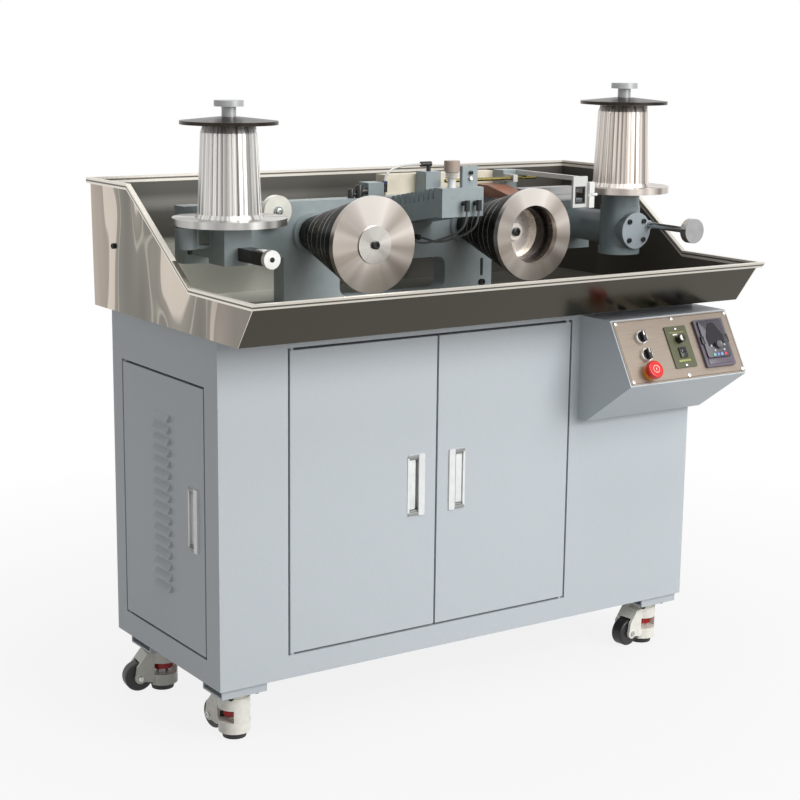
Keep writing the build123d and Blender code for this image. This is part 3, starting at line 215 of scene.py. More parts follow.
def socket_screw(name, material, body, at, facing, radius, height, sides=24):
    """A screw with a soft-edged head and a sunk socket; with six sides it is a hexagon head."""
    bpy.ops.mesh.primitive_cylinder_add(vertices=sides, radius=radius, depth=height, location=(0, 0, height / 2))
    pick(on_top)
    bpy.ops.mesh.inset(thickness=radius * 0.16, depth=height * 0.16)
    bpy.ops.mesh.inset(thickness=radius * 0.34)
    bpy.ops.mesh.extrude_region_move(TRANSFORM_OT_translate={"value": (0, 0, -height * 0.45)})
    return settle(name, material, body, at, facing)


zinc = coat("zinc_plate", (0.52, 0.52, 0.50), 0.34, metal=1.0, scale=60.0, shift=0.15)
powder = coat("powder_coat", (0.515, 0.555, 0.585), 0.40, scale=260.0, shift=0.02, depth=0.05)
cream_enamel = coat("caster_enamel", (0.84, 0.825, 0.75), 0.30, scale=90.0)
red_plastic = coat("thumbwheel_red", (0.50, 0.03, 0.03), 0.35, scale=90.0)
pad_rubber = coat("pad_rubber", (0.03, 0.03, 0.03), 0.65, scale=150.0, depth=0.08)
tread_nylon = coat("tread_nylon", (0.018, 0.018, 0.02), 0.42, scale=120.0, depth=0.04)
dark_steel = coat("dark_steel", (0.022, 0.022, 0.023), 0.32, metal=0.5, scale=90.0)
dress("caster_brackets", powder)
dress("caster_forks", cream_enamel)
dress("levelling_pads", pad_rubber)
thumbwheel_z = 0.0545
lift_nut_z = 0.0422
cheek_offset = 0.0238
top_plate_z = 0.1005
bolt_offset = 0.0325
casters = {
    "front_left": (-0.550, -0.102),
    "front_right": (0.550, -0.102),
    "back_left": (-0.550, 0.226),
    "back_right": (0.550, 0.226),
}
for corner, (x, y) in casters.items():
    wheel = nodes["caster_wheel_" + corner]
    dress(wheel.name, tread_nylon)
    low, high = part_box(wheel.name)
    hub = (low + high) / 2
    out = Vector((hub.x - x, hub.y - y, 0)).normalized()
    side = Vector((0, 0, 1)).cross(out)
    bpy.ops.mesh.primitive_cylinder_add(vertices=40, radius=0.0226, depth=0.0145, location=(0, 0, thumbwheel_z))
    pick(on_side)
    bpy.ops.mesh.inset(use_individual=True, thickness=0.0005, depth=-0.0012)
    settle("thumbwheel_" + corner, red_plastic, "machine", (x, y, 0))
    bpy.ops.mesh.primitive_cylinder_add(vertices=6, radius=0.0130, depth=0.0105, location=(0, 0, lift_nut_z))
    pick(lambda face: face.normal.z < -0.5)
    bpy.ops.mesh.inset(thickness=0.0012, depth=0.0010)
    settle("lift_nut_" + corner, zinc, "machine", (x, y, 0))
    for end, sign in (("a", 1), ("b", -1)):
        cheek = hub + side * sign * cheek_offset
        name = f"axle_nut_{corner}_{end}"
        socket_screw(name, zinc, "machine", cheek, side * sign, 0.0062, 0.0035, sides=6)
    for number, (u, v) in enumerate(((1, 1), (1, -1), (-1, 1), (-1, -1))):
        foot = Vector((x, y, top_plate_z)) + out * u * bolt_offset + side * v * bolt_offset
        name = f"plate_bolt_{corner}_{number}"
        socket_screw(name, dark_steel, "machine", foot, (0, 0, -1), 0.0058, 0.0072, sides=6)
bpy.ops.object.select_all(action="DESELECT")
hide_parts("caster_adjusters")


# Cabinet and doors.
# Folded steel sheet with a light blue-grey powder coat, which has a very fine orange-peel skin.
# Each door has a pale satin flush pull: a frame, a raised finger plate, and a sunk plate between dark end caps.
def soft_block(width, height, thick, edge, round_end=0.0):
    """A flat block with soft edges, its back on z = 0; it may have rounded corners."""
    bpy.ops.mesh.primitive_cube_add(size=1.0, location=(0, 0, thick / 2))
    block = bpy.context.object
    block.scale = (width, height, thick)
    bpy.ops.object.transform_apply(location=True, rotation=True, scale=True)
    if round_end:
        bpy.ops.object.mode_set(mode="EDIT")
        bpy.ops.mesh.select_mode(type="EDGE")
        bpy.ops.mesh.select_all(action="DESELECT")
        bpy.ops.object.mode_set(mode="OBJECT")
        for side in block.data.edges:
            first, second = (block.data.vertices[index].co for index in side.vertices)
            side.select = abs(first.z - second.z) > thick / 2
        bpy.ops.object.mode_set(mode="EDIT")
        bpy.ops.mesh.bevel(offset=round_end, segments=6, affect="EDGES")
        bpy.ops.object.mode_set(mode="OBJECT")
    soft = block.modifiers.new("soft_edge", "BEVEL")
    soft.width = min(edge, thick * 0.45)
    soft.segments = 2
    bpy.ops.object.modifier_apply(modifier=soft.name)


for node in (
    "cabinet_base",
    "cabinet_back",
    "cabinet_right_side",
    "cabinet_left_side",
    "cabinet_front",
    "front_door_left",
    "front_door_right",
    "side_door",
):
    dress(node, powder)
pull_metal = coat("pull_satin", (0.80, 0.81, 0.80), 0.30, metal=0.2, scale=50.0)
pull_plate = coat("pull_sunk_plate", (0.76, 0.78, 0.77), 0.34, scale=50.0)
pull_cap = coat("pull_end_cap", (0.30, 0.31, 0.31), 0.38, metal=0.3, scale=90.0)
pull_painted_shade = coat("pull_shade", (0.21, 0.215, 0.20), 0.45, scale=90.0)
rim_rise = 0.00675
well_depth = 0.0125
for node, body, facing, cover_side in (
    ("front_pull_left", "left_door", Vector((0, -1, 0)), 1),
    ("front_pull_right", "right_door", Vector((0, -1, 0)), -1),
    ("side_pull", "louvred_door", Vector((-1, 0, 0)), 1),
):
    dress(node, pull_metal)
    low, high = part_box(node)
    rim = (low + high) / 2 + facing * rim_rise
    across = Vector((0, 0, 1)).cross(facing) * cover_side
    soft_block(0.0165, 0.1060, 0.0090, 0.0012, 0.002)
    sunk = rim - across * 0.0072 - facing * well_depth
    settle(node + "_sunk_plate", pull_plate, body, sunk, facing)
    for end, sign in (("low", -1), ("high", 1)):
        soft_block(0.0300, 0.0065, 0.0105, 0.0008, 0.001)
        cap = rim + Vector((0, 0, 0.0575 * sign)) - facing * well_depth
        settle(f"{node}_end_cap_{end}", pull_cap, body, cap, facing)
        soft_block(0.0405, 0.0075, 0.0028, 0.0008, 0.0025)
        lip = rim + Vector((0, 0, 0.0618 * sign)) - facing * 0.0016
        settle(f"{node}_end_lip_{end}", pull_cap, body, lip, facing)
    # A dark strip in the gap beside the sunk plate is painted shade.
    gap_shade = sunk + across * 0.0111 - facing * 0.0010
    soft_block(0.0056, 0.1080, 0.0024, 0.0004, 0.001)
    settle(node + "_gap", pull_painted_shade, body, gap_shade, facing)


# Console.
# A brushed beige face plate with a thin dark line round it, held by six bright screws, on a folded housing in
# the cabinet's paint.
# On it are two selectors with bright rings, a mushroom stop in a yellow collar, a speed controller and a keypad.
def reckon(tree, operation, first, second=0.0):
    """One step of arithmetic in a finish."""
    return joined(tree, "Math", {0: first, 1: second}, operation=operation)


def off(tree, value, middle):
    """How far a value is from a middle one, on either side."""
    return reckon(tree, "ABSOLUTE", reckon(tree, "SUBTRACT", value, middle))


def below(tree, value, limit):
    """One where a value is under a limit, and nought elsewhere."""
    return reckon(tree, "LESS_THAN", value, limit)


def axes_of(tree, vector):
    """The x, y and z of a vector."""
    split = tree.nodes.new("ShaderNodeSeparateXYZ")
    tree.links.new(vector, split.inputs[0])
    return split.outputs["X"], split.outputs["Y"], split.outputs["Z"]


def overlay(tree, mask, colour):
    """Lay a colour, or another pattern's colour, over the finish where a mask is one."""
    base = shader_in(tree).inputs["Base Color"]
    if not isinstance(colour, bpy.types.NodeSocket):
        colour = (*colour, 1.0)
    under = base.links[0].from_socket
    tree.links.new(joined(tree, "Mix", {"Factor": mask, 6: under, 7: colour}, 2, data_type="RGBA"), base)


panel_out = Vector((0.0, -0.132, 0.076)).normalized()
panel_up = panel_out.cross(Vector((1, 0, 0)))
panel_middle = Vector((0.4524, -0.298, 0.747))
slope = atan2(panel_up.y, panel_up.z)
brushed = {"grain": (1.0, 30.0, 30.0), "scale": 20.0, "shift": 0.09}
plate_finish = coat("face_plate", (0.295, 0.243, 0.196), 0.36, metal=0.35, **brushed)
tree = plate_finish.node_tree
to_plate = (
    -panel_middle.x,
    -(panel_middle.y * cos(slope) - panel_middle.z * sin(slope)),
    -(panel_middle.y * sin(slope) + panel_middle.z * cos(slope)),
)
spot = joined(tree, "TexCoord", {}, "Object")
squared = joined(tree, "Mapping", {"Vector": spot, "Rotation": (slope, 0.0, 0.0), "Location": to_plate})
x, y, z = axes_of(tree, squared)
line_half_width = 0.1628
line_half_height = 0.0702
past_side = reckon(tree, "SUBTRACT", off(tree, x, 0.0), line_half_width)
past_top = reckon(tree, "SUBTRACT", off(tree, z, 0.0), line_half_height)
from_line = off(tree, reckon(tree, "MAXIMUM", past_side, past_top), 0.0)
overlay(tree, below(tree, from_line, 0.0007), (0.10, 0.08, 0.065))
dress("console_housing", powder)
dress("console_plate", plate_finish)
bright_ring = coat("bright_ring", (0.90, 0.89, 0.86), 0.18, metal=0.75)
black_plastic = coat("black_plastic", (0.012, 0.012, 0.012), 0.33, scale=120.0)
white_mark = coat("white_mark", (0.80, 0.79, 0.72), 0.40, scale=120.0)
stop_red = coat("stop_red", (0.62, 0.018, 0.015), 0.25, scale=80.0)
collar_yellow = coat("collar_yellow", (0.80, 0.26, 0.02), 0.35, scale=80.0)
olive = coat("olive_panel", (0.075, 0.080, 0.035), 0.42, scale=120.0)
olive_light = coat("olive_strip", (0.30, 0.33, 0.08), 0.42, scale=120.0)
violet_light = coat("keypad_face", (0.105, 0.088, 0.115), 0.40, scale=120.0)
violet_grey = coat("keypad_shell", (0.050, 0.044, 0.060), 0.36, scale=120.0)
screen_dark = coat("screen_dark", (0.010, 0.008, 0.012), 0.12, scale=60.0)
knob_grey = coat("knob_grey", (0.09, 0.085, 0.095), 0.35)
key_pale = coat("key_pale", (0.42, 0.43, 0.47), 0.35)
for node, material in (
    ("selector_upper", black_plastic),
    ("selector_lower", black_plastic),
    ("emergency_stop", stop_red),
    ("speed_controller", olive),
    ("speed_knob", black_plastic),
    ("inverter_keypad", violet_light),
):
    dress(node, material)


def on_panel(u, v, height):
    """A point on the sloped face plate: across, up the slope, and out from the housing."""
    return panel_middle + Vector((u, 0, 0)) + panel_up * v + panel_out * height


def seat_on_panel(name, material, body, place):
    """Seat the piece in hand on the face plate, with its own y up the slope."""
    piece = settle(name, material, body)
    axes = Matrix((Vector((1, 0, 0)), panel_up, panel_out)).transposed()
    piece.data.transform(Matrix.Translation(on_panel(*place)) @ axes.to_4x4())


def panel_button(name, material, place, size, edge=0.0008, corner=0.0):
    """A small flat piece with soft edges on the face plate."""
    soft_block(*size, edge, corner)
    seat_on_panel(name, material, "machine", place)


plate_face = 0.002
screw_places = [(u * 0.15957, v * 0.06693) for u, v in ((-1, 1), (1, 1), (-1, -1), (1, -1))]
screw_places += [(0, 0.066445), (0, -0.066445)]
for number, (u, v) in enumerate(screw_places):
    at = on_panel(u, v, plate_face)
    socket_screw(f"face_screw_{number}", bright_ring, "machine", at, panel_out, 0.0042, 0.0026)
for number, v in enumerate((0.0415, -0.0435)):
    name = f"controller_screw_{number}"
    socket_screw(name, bright_ring, "machine", on_panel(0, v, 0.005), panel_out, 0.0026, 0.0016)
selector_u = -0.104
for name, v, tip in (("upper", 0.030, bright_ring), ("lower", -0.0105, white_mark)):
    bpy.ops.mesh.primitive_cylinder_add(vertices=56, radius=0.01475, depth=0.0078, location=(0, 0, 0.0039))
    pick(on_top)
    bpy.ops.mesh.inset(thickness=0.0008, depth=0.0008)
    bpy.ops.mesh.inset(thickness=0.0020)
    bpy.ops.mesh.inset(thickness=0.0006, depth=-0.0030)
    at = on_panel(selector_u, v, plate_face)
    settle("selector_ring_" + name, bright_ring, "machine", at, panel_out)
    soft_block(0.0024, 0.0105, 0.0006, 0.0002)
    place = (selector_u, v + 0.0068, 0.0194)
    seat_on_panel("selector_tip_" + name, tip, name + "_selector", place)

# The stop button's collar is a cup round its stem. The button carries a ring and a short line as its mark.
stop_place = (-0.109, -0.050)
bpy.ops.mesh.primitive_cylinder_add(vertices=64, radius=0.0172, depth=0.0098, location=(0, 0, 0.0049))
pick(on_top)
bpy.ops.mesh.inset(thickness=0.0008, depth=0.0002)
bpy.ops.mesh.inset(thickness=0.0026)
bpy.ops.mesh.inset(thickness=0.0003, depth=-0.0096)
at = on_panel(*stop_place, plate_face)
collar = settle("stop_collar", collar_yellow, "machine", at, panel_out)
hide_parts("switch_rings")
bpy.ops.mesh.primitive_torus_add(major_radius=0.0080, minor_radius=0.0007, major_segments=48, minor_segments=8)
settle("stop_turn_mark", white_mark, "stop_button", on_panel(*stop_place, 0.0281), panel_out)
soft_block(0.0016, 0.0062, 0.0006, 0.0002)
seat_on_panel("stop_pointer", white_mark, "stop_button", (*stop_place, 0.0278))

# The speed controller has an olive plate, a scale of small ticks round its dial, and a rocker below.
controller_face = 0.0049
dial_v = 0.016
scale_radius = 0.0125
for name, material, place, size in (
    ("controller_strip_low", olive_light, (0, -0.0325, controller_face), (0.034, 0.0045, 0.0004)),
    ("controller_strip_high", olive_light, (0, 0.0335, controller_face), (0.042, 0.0016, 0.0004)),
    ("dial_plate", white_mark, (-0.0055, 0.0285, controller_face), (0.013, 0.0035, 0.0004)),
):
    panel_button(name, material, place, size)
for number in range(11):
    angle = radians(225 - number * 27)
    place = (scale_radius * cos(angle), dial_v + scale_radius * sin(angle), controller_face)
    panel_button(f"dial_tick_{number}", olive_light, place, (0.0009, 0.0009, 0.0004))
bpy.ops.mesh.primitive_cylinder_add(vertices=40, radius=0.0068, depth=0.0008, location=(0, 0, 0.0004))
pick(on_top)
bpy.ops.mesh.inset(thickness=0.0008, depth=0.0003)
bpy.ops.mesh.select_all(action="SELECT")
bpy.ops.mesh.bisect(plane_co=(0.0005, 0, 0), plane_no=(1, 0, 0), use_fill=True, clear_inner=True)
seat_on_panel("dial_face", white_mark, "speed_dial", (0.0, dial_v, 0.0190))
for name, material, place, size in (
    ("rocker_rim", black_plastic, (0, -0.014, 0.0072), (0.0195, 0.0235, 0.0022)),
    ("rocker_top", screen_dark, (0, -0.0095, 0.0090), (0.013, 0.009, 0.0024)),
    ("rocker_foot", black_plastic, (0, -0.0185, 0.0088), (0.013, 0.009, 0.0012)),
):
    panel_button(name, material, place, size)

# The keypad's shell stands on a violet base, with a clip on each side and its keys round a grey knob.
keypad_u = 0.0975
shell_foot = 0.0088
key_foot = 0.0132
place = (keypad_u, 0.0075, shell_foot)
panel_button("keypad_body", violet_grey, place, (0.070, 0.088, 0.0046), 0.0015, 0.006)
place = (keypad_u, -0.0430, shell_foot)
panel_button("keypad_foot", violet_light, place, (0.070, 0.013, 0.0016), 0.0006)
for number, sign in enumerate((-1, 1)):
    place = (keypad_u + sign * 0.0355, 0.006, shell_foot)
    panel_button(f"keypad_clip_{number}", black_plastic, place, (0.008, 0.018, 0.0052), 0.0006)

# The screen is a dark glossy shield: round at its top, and narrowing downwards to the grey knob.
bpy.ops.mesh.primitive_cylinder_add(vertices=64, radius=1.0, depth=0.0012, location=(0, 0, 0.0006))
for vertex in bpy.context.object.data.vertices:
    point = vertex.co
    toward_square = 0.30 + 0.70 / max(abs(point.x), abs(point.y))
    point.x *= toward_square
    point.y *= toward_square
    narrowing = 0.66 * max(0.0, 0.15 - point.y) / 1.15
    point.x *= 0.0255 * (1.0 - narrowing)
    point.y *= 0.0285
seat_on_panel("keypad_screen", screen_dark, "machine", (keypad_u, 0.0165, 0.0133))
bpy.ops.mesh.primitive_cylinder_add(vertices=40, radius=0.0088, depth=0.008, location=(0, 0, 0.004))
pick(on_top)
bpy.ops.mesh.inset(thickness=0.0012, depth=0.0008)
bpy.ops.mesh.inset(thickness=0.0015, depth=-0.0006)
settle("keypad_knob", knob_grey, "machine", on_panel(0.0995, -0.0090, 0.0130), panel_out)
for number, (u, v) in enumerate(((0.0800, -0.0090), (0.0870, -0.0205), (0.1190, -0.0090), (0.1145, -0.0205))):
    place = (u, v, key_foot)
    panel_button(f"keypad_key_{number}", key_pale, place, (0.0050, 0.0048, 0.0016))
light_keys = (
    (0.0820, (0.14, 0.50, 0.42)),
    (0.0930, (0.22, 0.26, 0.60)),
    (0.1035, (0.16, 0.36, 0.62)),
    (0.1145, (0.62, 0.05, 0.10)),
)
for number, (u, colour) in enumerate(light_keys):
    ink = coat(f"key_colour_{number}", colour, 0.3)
    place = (u, -0.0300, key_foot)
    panel_button(f"keypad_light_key_{number}", ink, place, (0.0072, 0.0066, 0.0018))


# Drip tray.
# Welded stainless sheet, polished on the outside, with slow waves in the sheet that bend its reflections, and
# painted reflections in its colour.
# Its hemmed rim carries a painted highlight, its inside is dull with painted light and shade, and a black screw
# plugs the hole in the left end.
def above(tree, value, limit):
    """One where a value is over a limit, and nought elsewhere."""
    return reckon(tree, "GREATER_THAN", value, limit)


def both(tree, first, *others):
    """Where every one of several masks is one."""
    for other in others:
        first = reckon(tree, "MULTIPLY", first, other)
    return first


tray_steel = coat("tray_steel", (0.30, 0.285, 0.25), 0.17, metal=1.0, scale=5.0, shift=0.30, depth=0.35)
tree = tray_steel.node_tree
where = tree.nodes.new("ShaderNodeTexCoord").outputs
x, y, z = axes_of(tree, where["Object"])
level_spot = joined(tree, "VectorMath", {0: where["Object"], 1: (1.0, 1.0, 0.0)}, operation="MULTIPLY")
lean = joined(tree, "VectorMath", {0: level_spot, 1: where["Normal"]}, "Value", operation="DOT_PRODUCT")
outside = above(tree, lean, 0.02)
normal_x, _, normal_z = axes_of(tree, where["Normal"])
sideways = above(tree, off(tree, normal_x, 0.0), 0.7)
upward = above(tree, normal_z, 0.75)
outer_ends = both(tree, outside, sideways)

# Inside, light and shade are painted: painted shade on the back wall above, with one paler band of painted
# reflection, and painted light below at the left. The floor and the left end get painted light too, and painted
# shade darkens everything to the right.
back_wall = above(tree, y, 0.20)
overlay(tree, back_wall, (0.085, 0.083, 0.072))
painted_reflection_band = graded(tree, off(tree, z, 1.048), 0.004, 0.020, 0.45, 0.0)
overlay(tree, both(tree, painted_reflection_band, above(tree, y, 0.30)), (0.30, 0.29, 0.26))
painted_light_low = graded(tree, z, 0.975, 0.957, 0.0, 0.9)
painted_light_left = graded(tree, x, -0.08, -0.24, 0.12, 1.0)
overlay(tree, both(tree, painted_light_low, back_wall, painted_light_left), (0.60, 0.60, 0.54))
overlay(tree, both(tree, sideways, below(tree, x, -0.5)), (0.36, 0.36, 0.32))
floor_painted_light = graded(tree, x, -0.34, -0.56, 0.0, 1.0)
overlay(tree, both(tree, upward, below(tree, z, 0.845), floor_painted_light), (0.52, 0.52, 0.46))
# Painted shade towards the right.
overlay(tree, graded(tree, x, 0.10, 0.50, 0.0, 0.9), (0.085, 0.078, 0.066))

# Outside, the ends carry a painted reflection of a bright room in bent patches, the front slope a painted
# reflection of a dark floor, and the back is plain.
upright_waves = {"Scale": (1.0, 1.0, 0.34), "Location": (0.0, 0.16, 0.0)}
stretched = joined(tree, "Mapping", {"Vector": where["Object"], **upright_waves})
slow = {"Scale": 6.8, "Detail": 1.0, "Roughness": 0.35, "Distortion": 0.45}
clouds = joined(tree, "TexNoise", {"Vector": stretched, **slow})
painted_room_reflection = ramp(
    tree,
    clouds,
    (
        (0.34, (0.15, 0.138, 0.115)),
        (0.425, (0.20, 0.185, 0.155)),
        (0.435, (0.40, 0.37, 0.31)),
        (0.445, (0.215, 0.198, 0.165)),
        (0.485, (0.27, 0.248, 0.21)),
        (0.495, (0.58, 0.505, 0.43)),
        (0.575, (0.62, 0.54, 0.46)),
        (0.583, (0.32, 0.268, 0.22)),
        (0.68, (0.42, 0.35, 0.29)),
    ),
)
overlay(tree, outside, (0.40, 0.38, 0.34))
# Painted reflection of a dark floor on the front slope.
overlay(tree, both(tree, outside, below(tree, y, 0.0)), (0.070, 0.065, 0.050))
# Painted reflection of a bright room on the outer ends.
overlay(tree, outer_ends, painted_room_reflection)
# Part of the painted reflection: the outer ends darken towards the front.
overlay(tree, both(tree, outer_ends, graded(tree, y, -0.13, -0.27, 0.0, 0.88)), (0.185, 0.17, 0.148))

# The welded corners of the slope are bright. The rim's top and the hem under it carry a painted highlight, and a
# dark line of painted shade parts them.
slope_face = both(tree, outside, reckon(tree, "SUBTRACT", 1.0, sideways))
corner = both(tree, above(tree, off(tree, x, 0.0), 0.6330), below(tree, y, -0.27))
overlay(tree, both(tree, slope_face, corner), (0.66, 0.62, 0.55))
# Painted highlight on the rim's top.
overlay(tree, both(tree, upward, above(tree, z, 0.90)), (0.78, 0.75, 0.68))
rim_z = graded(tree, y, -0.1008, 0.1607, 0.9287, 1.1084)
under_rim = reckon(tree, "SUBTRACT", rim_z, z)
# Painted highlight on the hem under the rim.
overlay(tree, below(tree, under_rim, 0.0135), (0.70, 0.66, 0.59))
# Painted shade: a dark line between the rim and the hem.
overlay(tree, below(tree, off(tree, under_rim, 0.0062), 0.0017), (0.12, 0.11, 0.095))
tree.links.new(graded(tree, outside, 0.0, 1.0, 0.40, 0.15), shader_in(tree).inputs["Roughness"])
tree.links.new(graded(tree, outside, 0.0, 1.0, 0.45, 1.0), shader_in(tree).inputs["Metallic"])
dress("drip_tray", tray_steel)
at = (-0.6365, 0.243, 0.974)
socket_screw("tray_plug", dark_steel, "machine", at, (-1, 0, 0), 0.006, 0.004)


# Main frame, stand and gearbox.
# Thick machined castings in a satin blue-grey machine enamel, with black oxide screws.
# The die box has painted shade between its slotted walls, and the traverse slide has a bare aluminium arm
# and a black patch of painted shade in its window.
def enamel(name, colour=(0.275, 0.32, 0.33), gloss=0.34):
    """The machine's enamel, with a slight orange-peel skin."""
    return coat(name, colour, gloss, scale=50.0, shift=0.05, depth=0.06)


def place_in(tree):
    """The object's own x, y and z, as sockets of a finish."""
    return axes_of(tree, joined(tree, "TexCoord", {}, "Object"))


machine_enamel = enamel("machine_enamel")
for node in ("main_frame", "payoff_stand"):
    dress(node, machine_enamel)
box_enamel = enamel("die_box_enamel")
tree = box_enamel.node_tree
x, y, z = place_in(tree)
# Painted shade in the die box's slots.
slot_shade = below(tree, off(tree, x, 0.029), 0.0449)
slot_shade = both(tree, slot_shade, above(tree, y, -0.0405), below(tree, y, 0.0965))
overlay(tree, slot_shade, (0.030, 0.034, 0.036))
dress("die_box", box_enamel)
slide_enamel = enamel("slide_enamel")
tree = slide_enamel.node_tree
x, y, z = place_in(tree)
overlay(tree, below(tree, y, 0.1255), (0.58, 0.58, 0.56))
# A black patch of painted shade in the slide's window.
window_shade = both(tree, below(tree, off(tree, x, 0.325), 0.0145), below(tree, off(tree, z, 1.068), 0.0190))
overlay(tree, both(tree, window_shade, below(tree, y, -0.090)), (0.012, 0.012, 0.012))
dress("traverse_slide", slide_enamel)
gear_enamel = enamel("gear_enamel", (0.20, 0.245, 0.26), 0.30)
tree = gear_enamel.node_tree
x, y, z = place_in(tree)
overlay(tree, below(tree, y, -0.0945), (0.34, 0.39, 0.42))
dress("takeup_gearbox", gear_enamel)
to_front = (0, -1, 0)
cap_x = 0.495
cap_z = 0.981
bolt_circle = 0.0295
for number in range(4):
    angle = radians(45 + 90 * number)
    at = (cap_x + bolt_circle * cos(angle), -0.095, cap_z + bolt_circle * sin(angle))
    socket_screw(f"cap_bolt_{number}", dark_steel, "machine", at, to_front, 0.0056, 0.004)
socket_screw("foot_bolt", dark_steel, "machine", (0.223, 0.123, 0.857), to_front, 0.0075, 0.006)
socket_screw("axle_bolt", zinc, "machine", (-0.330, 0.0907, 1.045), to_front, 0.0065, 0.003)
bar_steel = coat("tension_bar_steel", (0.055, 0.050, 0.046), 0.30, metal=0.7, scale=60.0, shift=0.2)
tree = bar_steel.node_tree
x, y, z = place_in(tree)
overlay(tree, below(tree, y, -0.1338), (0.80, 0.80, 0.78))
dress("tension_bar", bar_steel)
at = (-0.482, -0.1450, 0.978)
socket_screw("bar_end_screw", dark_steel, "machine", at, to_front, 0.0052, 0.0012, sides=20)
soft_block(0.0180, 0.0280, 0.0030, 0.0004)
key_plate = coat("key_pale_plate", (0.80, 0.78, 0.74), 0.35)
settle("bar_key", key_plate, "machine", (-0.480, -0.106, 0.9906))
at = (-0.580, 0.010, 0.9872)
socket_screw("brake_screw", dark_steel, "machine", at, (0, 0, -1), 0.0050, 0.008)


# Drawing cones.
# Turned steel: twelve steps with a black oxide coat and thin bright edges of painted highlight, behind a bare
# turned disc or ring with wedges of painted sheen.
def turned(name, centre):
    """Bare steel faced in a lathe: fine rings round the centre, and wedges of painted sheen that run out from
    it.
    """
    dark = (0.27, 0.235, 0.205)
    light = (0.74, 0.69, 0.64)
    material = coat(name, light, 0.28, metal=1.0, scale=30.0, shift=0.05, depth=0.0, wear=0.005)
    tree = material.node_tree
    shader = shader_in(tree)
    shader.inputs["Anisotropic"].default_value = 0.6
    tangent = joined(tree, "Tangent", {}, "Tangent", direction_type="RADIAL", axis="Y")
    tree.links.new(tangent, shader.inputs["Tangent"])
    spot = joined(tree, "TexCoord", {}, "Object")
    shift = joined(tree, "Mapping", {"Vector": spot, "Location": [-c for c in centre]})
    turning = {"wave_type": "RINGS", "rings_direction": "Y"}
    rings = joined(tree, "TexWave", {"Vector": shift, "Scale": 90.0}, "Fac", **turning)
    tree.nodes["Bump"].inputs["Strength"].default_value = 0.012
    tree.links.new(rings, tree.nodes["Bump"].inputs["Height"])
    flat = joined(tree, "VectorMath", {0: shift, 1: (1.0, 0.0, 1.0)}, operation="MULTIPLY")
    spoke = joined(tree, "VectorMath", {0: flat}, operation="NORMALIZE")
    wander = joined(tree, "TexNoise", {"Vector": spoke, "Scale": 2.0, "Detail": 1.0, "Roughness": 0.5})
    # Painted sheen: the base colour is lighter in wedges above and below the centre, with noise.
    spoke_z = axes_of(tree, spoke)[2]
    upright = reckon(tree, "POWER", off(tree, spoke_z, 0.0), 5.0)
    painted_sheen = reckon(tree, "MULTIPLY", upright, 0.55)
    painted_sheen = reckon(tree, "ADD", painted_sheen, reckon(tree, "MULTIPLY", wander, 0.75))
    middle = [(a + b) / 2 for a, b in zip(dark, light)]
    painted_sheen_wedges = ramp(tree, painted_sheen, ((0.30, dark), (0.52, middle), (0.85, light)))
    tree.links.new(painted_sheen_wedges, shader.inputs["Base Color"])
    hub = reckon(tree, "MULTIPLY", below(tree, place_in(tree)[1], -0.1285), 0.65)
    overlay(tree, hub, (0.50, 0.49, 0.47))
    return material


cone_z = 0.9915
left_x = -0.234
right_x = 0.1765
cone_back_y = 0.1657
cone_step = 0.2787 / 12
for cone in ("left", "right"):
    black_oxide = coat("black_oxide_" + cone, (0.010, 0.009, 0.008), 0.28, metal=0.5, scale=80.0)
    tree = black_oxide.node_tree
    shader_in(tree).inputs["Specular IOR Level"].default_value = 0.25
    x, y, z = place_in(tree)
    steps = reckon(tree, "DIVIDE", reckon(tree, "SUBTRACT", cone_back_y, y), cone_step)
    # Painted highlight: a thin bright line at each step's edge.
    overlay(tree, below(tree, reckon(tree, "FRACT", steps), 0.09), (0.27, 0.26, 0.245))
    if cone == "right":
        # The bore's wall is bare steel, bright with painted light at its left and brown, darkening into painted
        # shade, beyond; its bottom is pale.
        across = reckon(tree, "SUBTRACT", x, right_x)
        rise = reckon(tree, "SUBTRACT", z, cone_z)
        squares = reckon(tree, "MULTIPLY", across, across), reckon(tree, "MULTIPLY", rise, rise)
        reach = reckon(tree, "POWER", reckon(tree, "ADD", *squares), 0.5)
        lit_to_shaded_wall = ramp(
            tree,
            graded(tree, across, -0.05, 0.03, 0.0, 1.0),
            ((0.0, (0.55, 0.50, 0.45)), (0.55, (0.12, 0.10, 0.09)), (1.0, (0.040, 0.032, 0.028))),
        )
        overlay(tree, both(tree, below(tree, reach, 0.0632), below(tree, y, -0.040)), lit_to_shaded_wall)
        bottom = both(tree, below(tree, reach, 0.0560), above(tree, y, -0.0625), below(tree, y, -0.045))
        overlay(tree, bottom, (0.84, 0.78, 0.72))
    dress(f"capstan_{cone}_cone", black_oxide)
dress("capstan_left_disc", turned("left_disc_face", (left_x, 0.0, cone_z)))
dress("capstan_right_ring", turned("right_ring_face", (right_x, 0.0, cone_z)))
at = (left_x, -0.1295, cone_z)
socket_screw("left_cone_bolt", dark_steel, "left_capstan", at, to_front, 0.0085, 0.0060)
at = (right_x, -0.0605, cone_z)
socket_screw("right_cone_bolt", dark_steel, "right_capstan", at, to_front, 0.0095, 0.006)


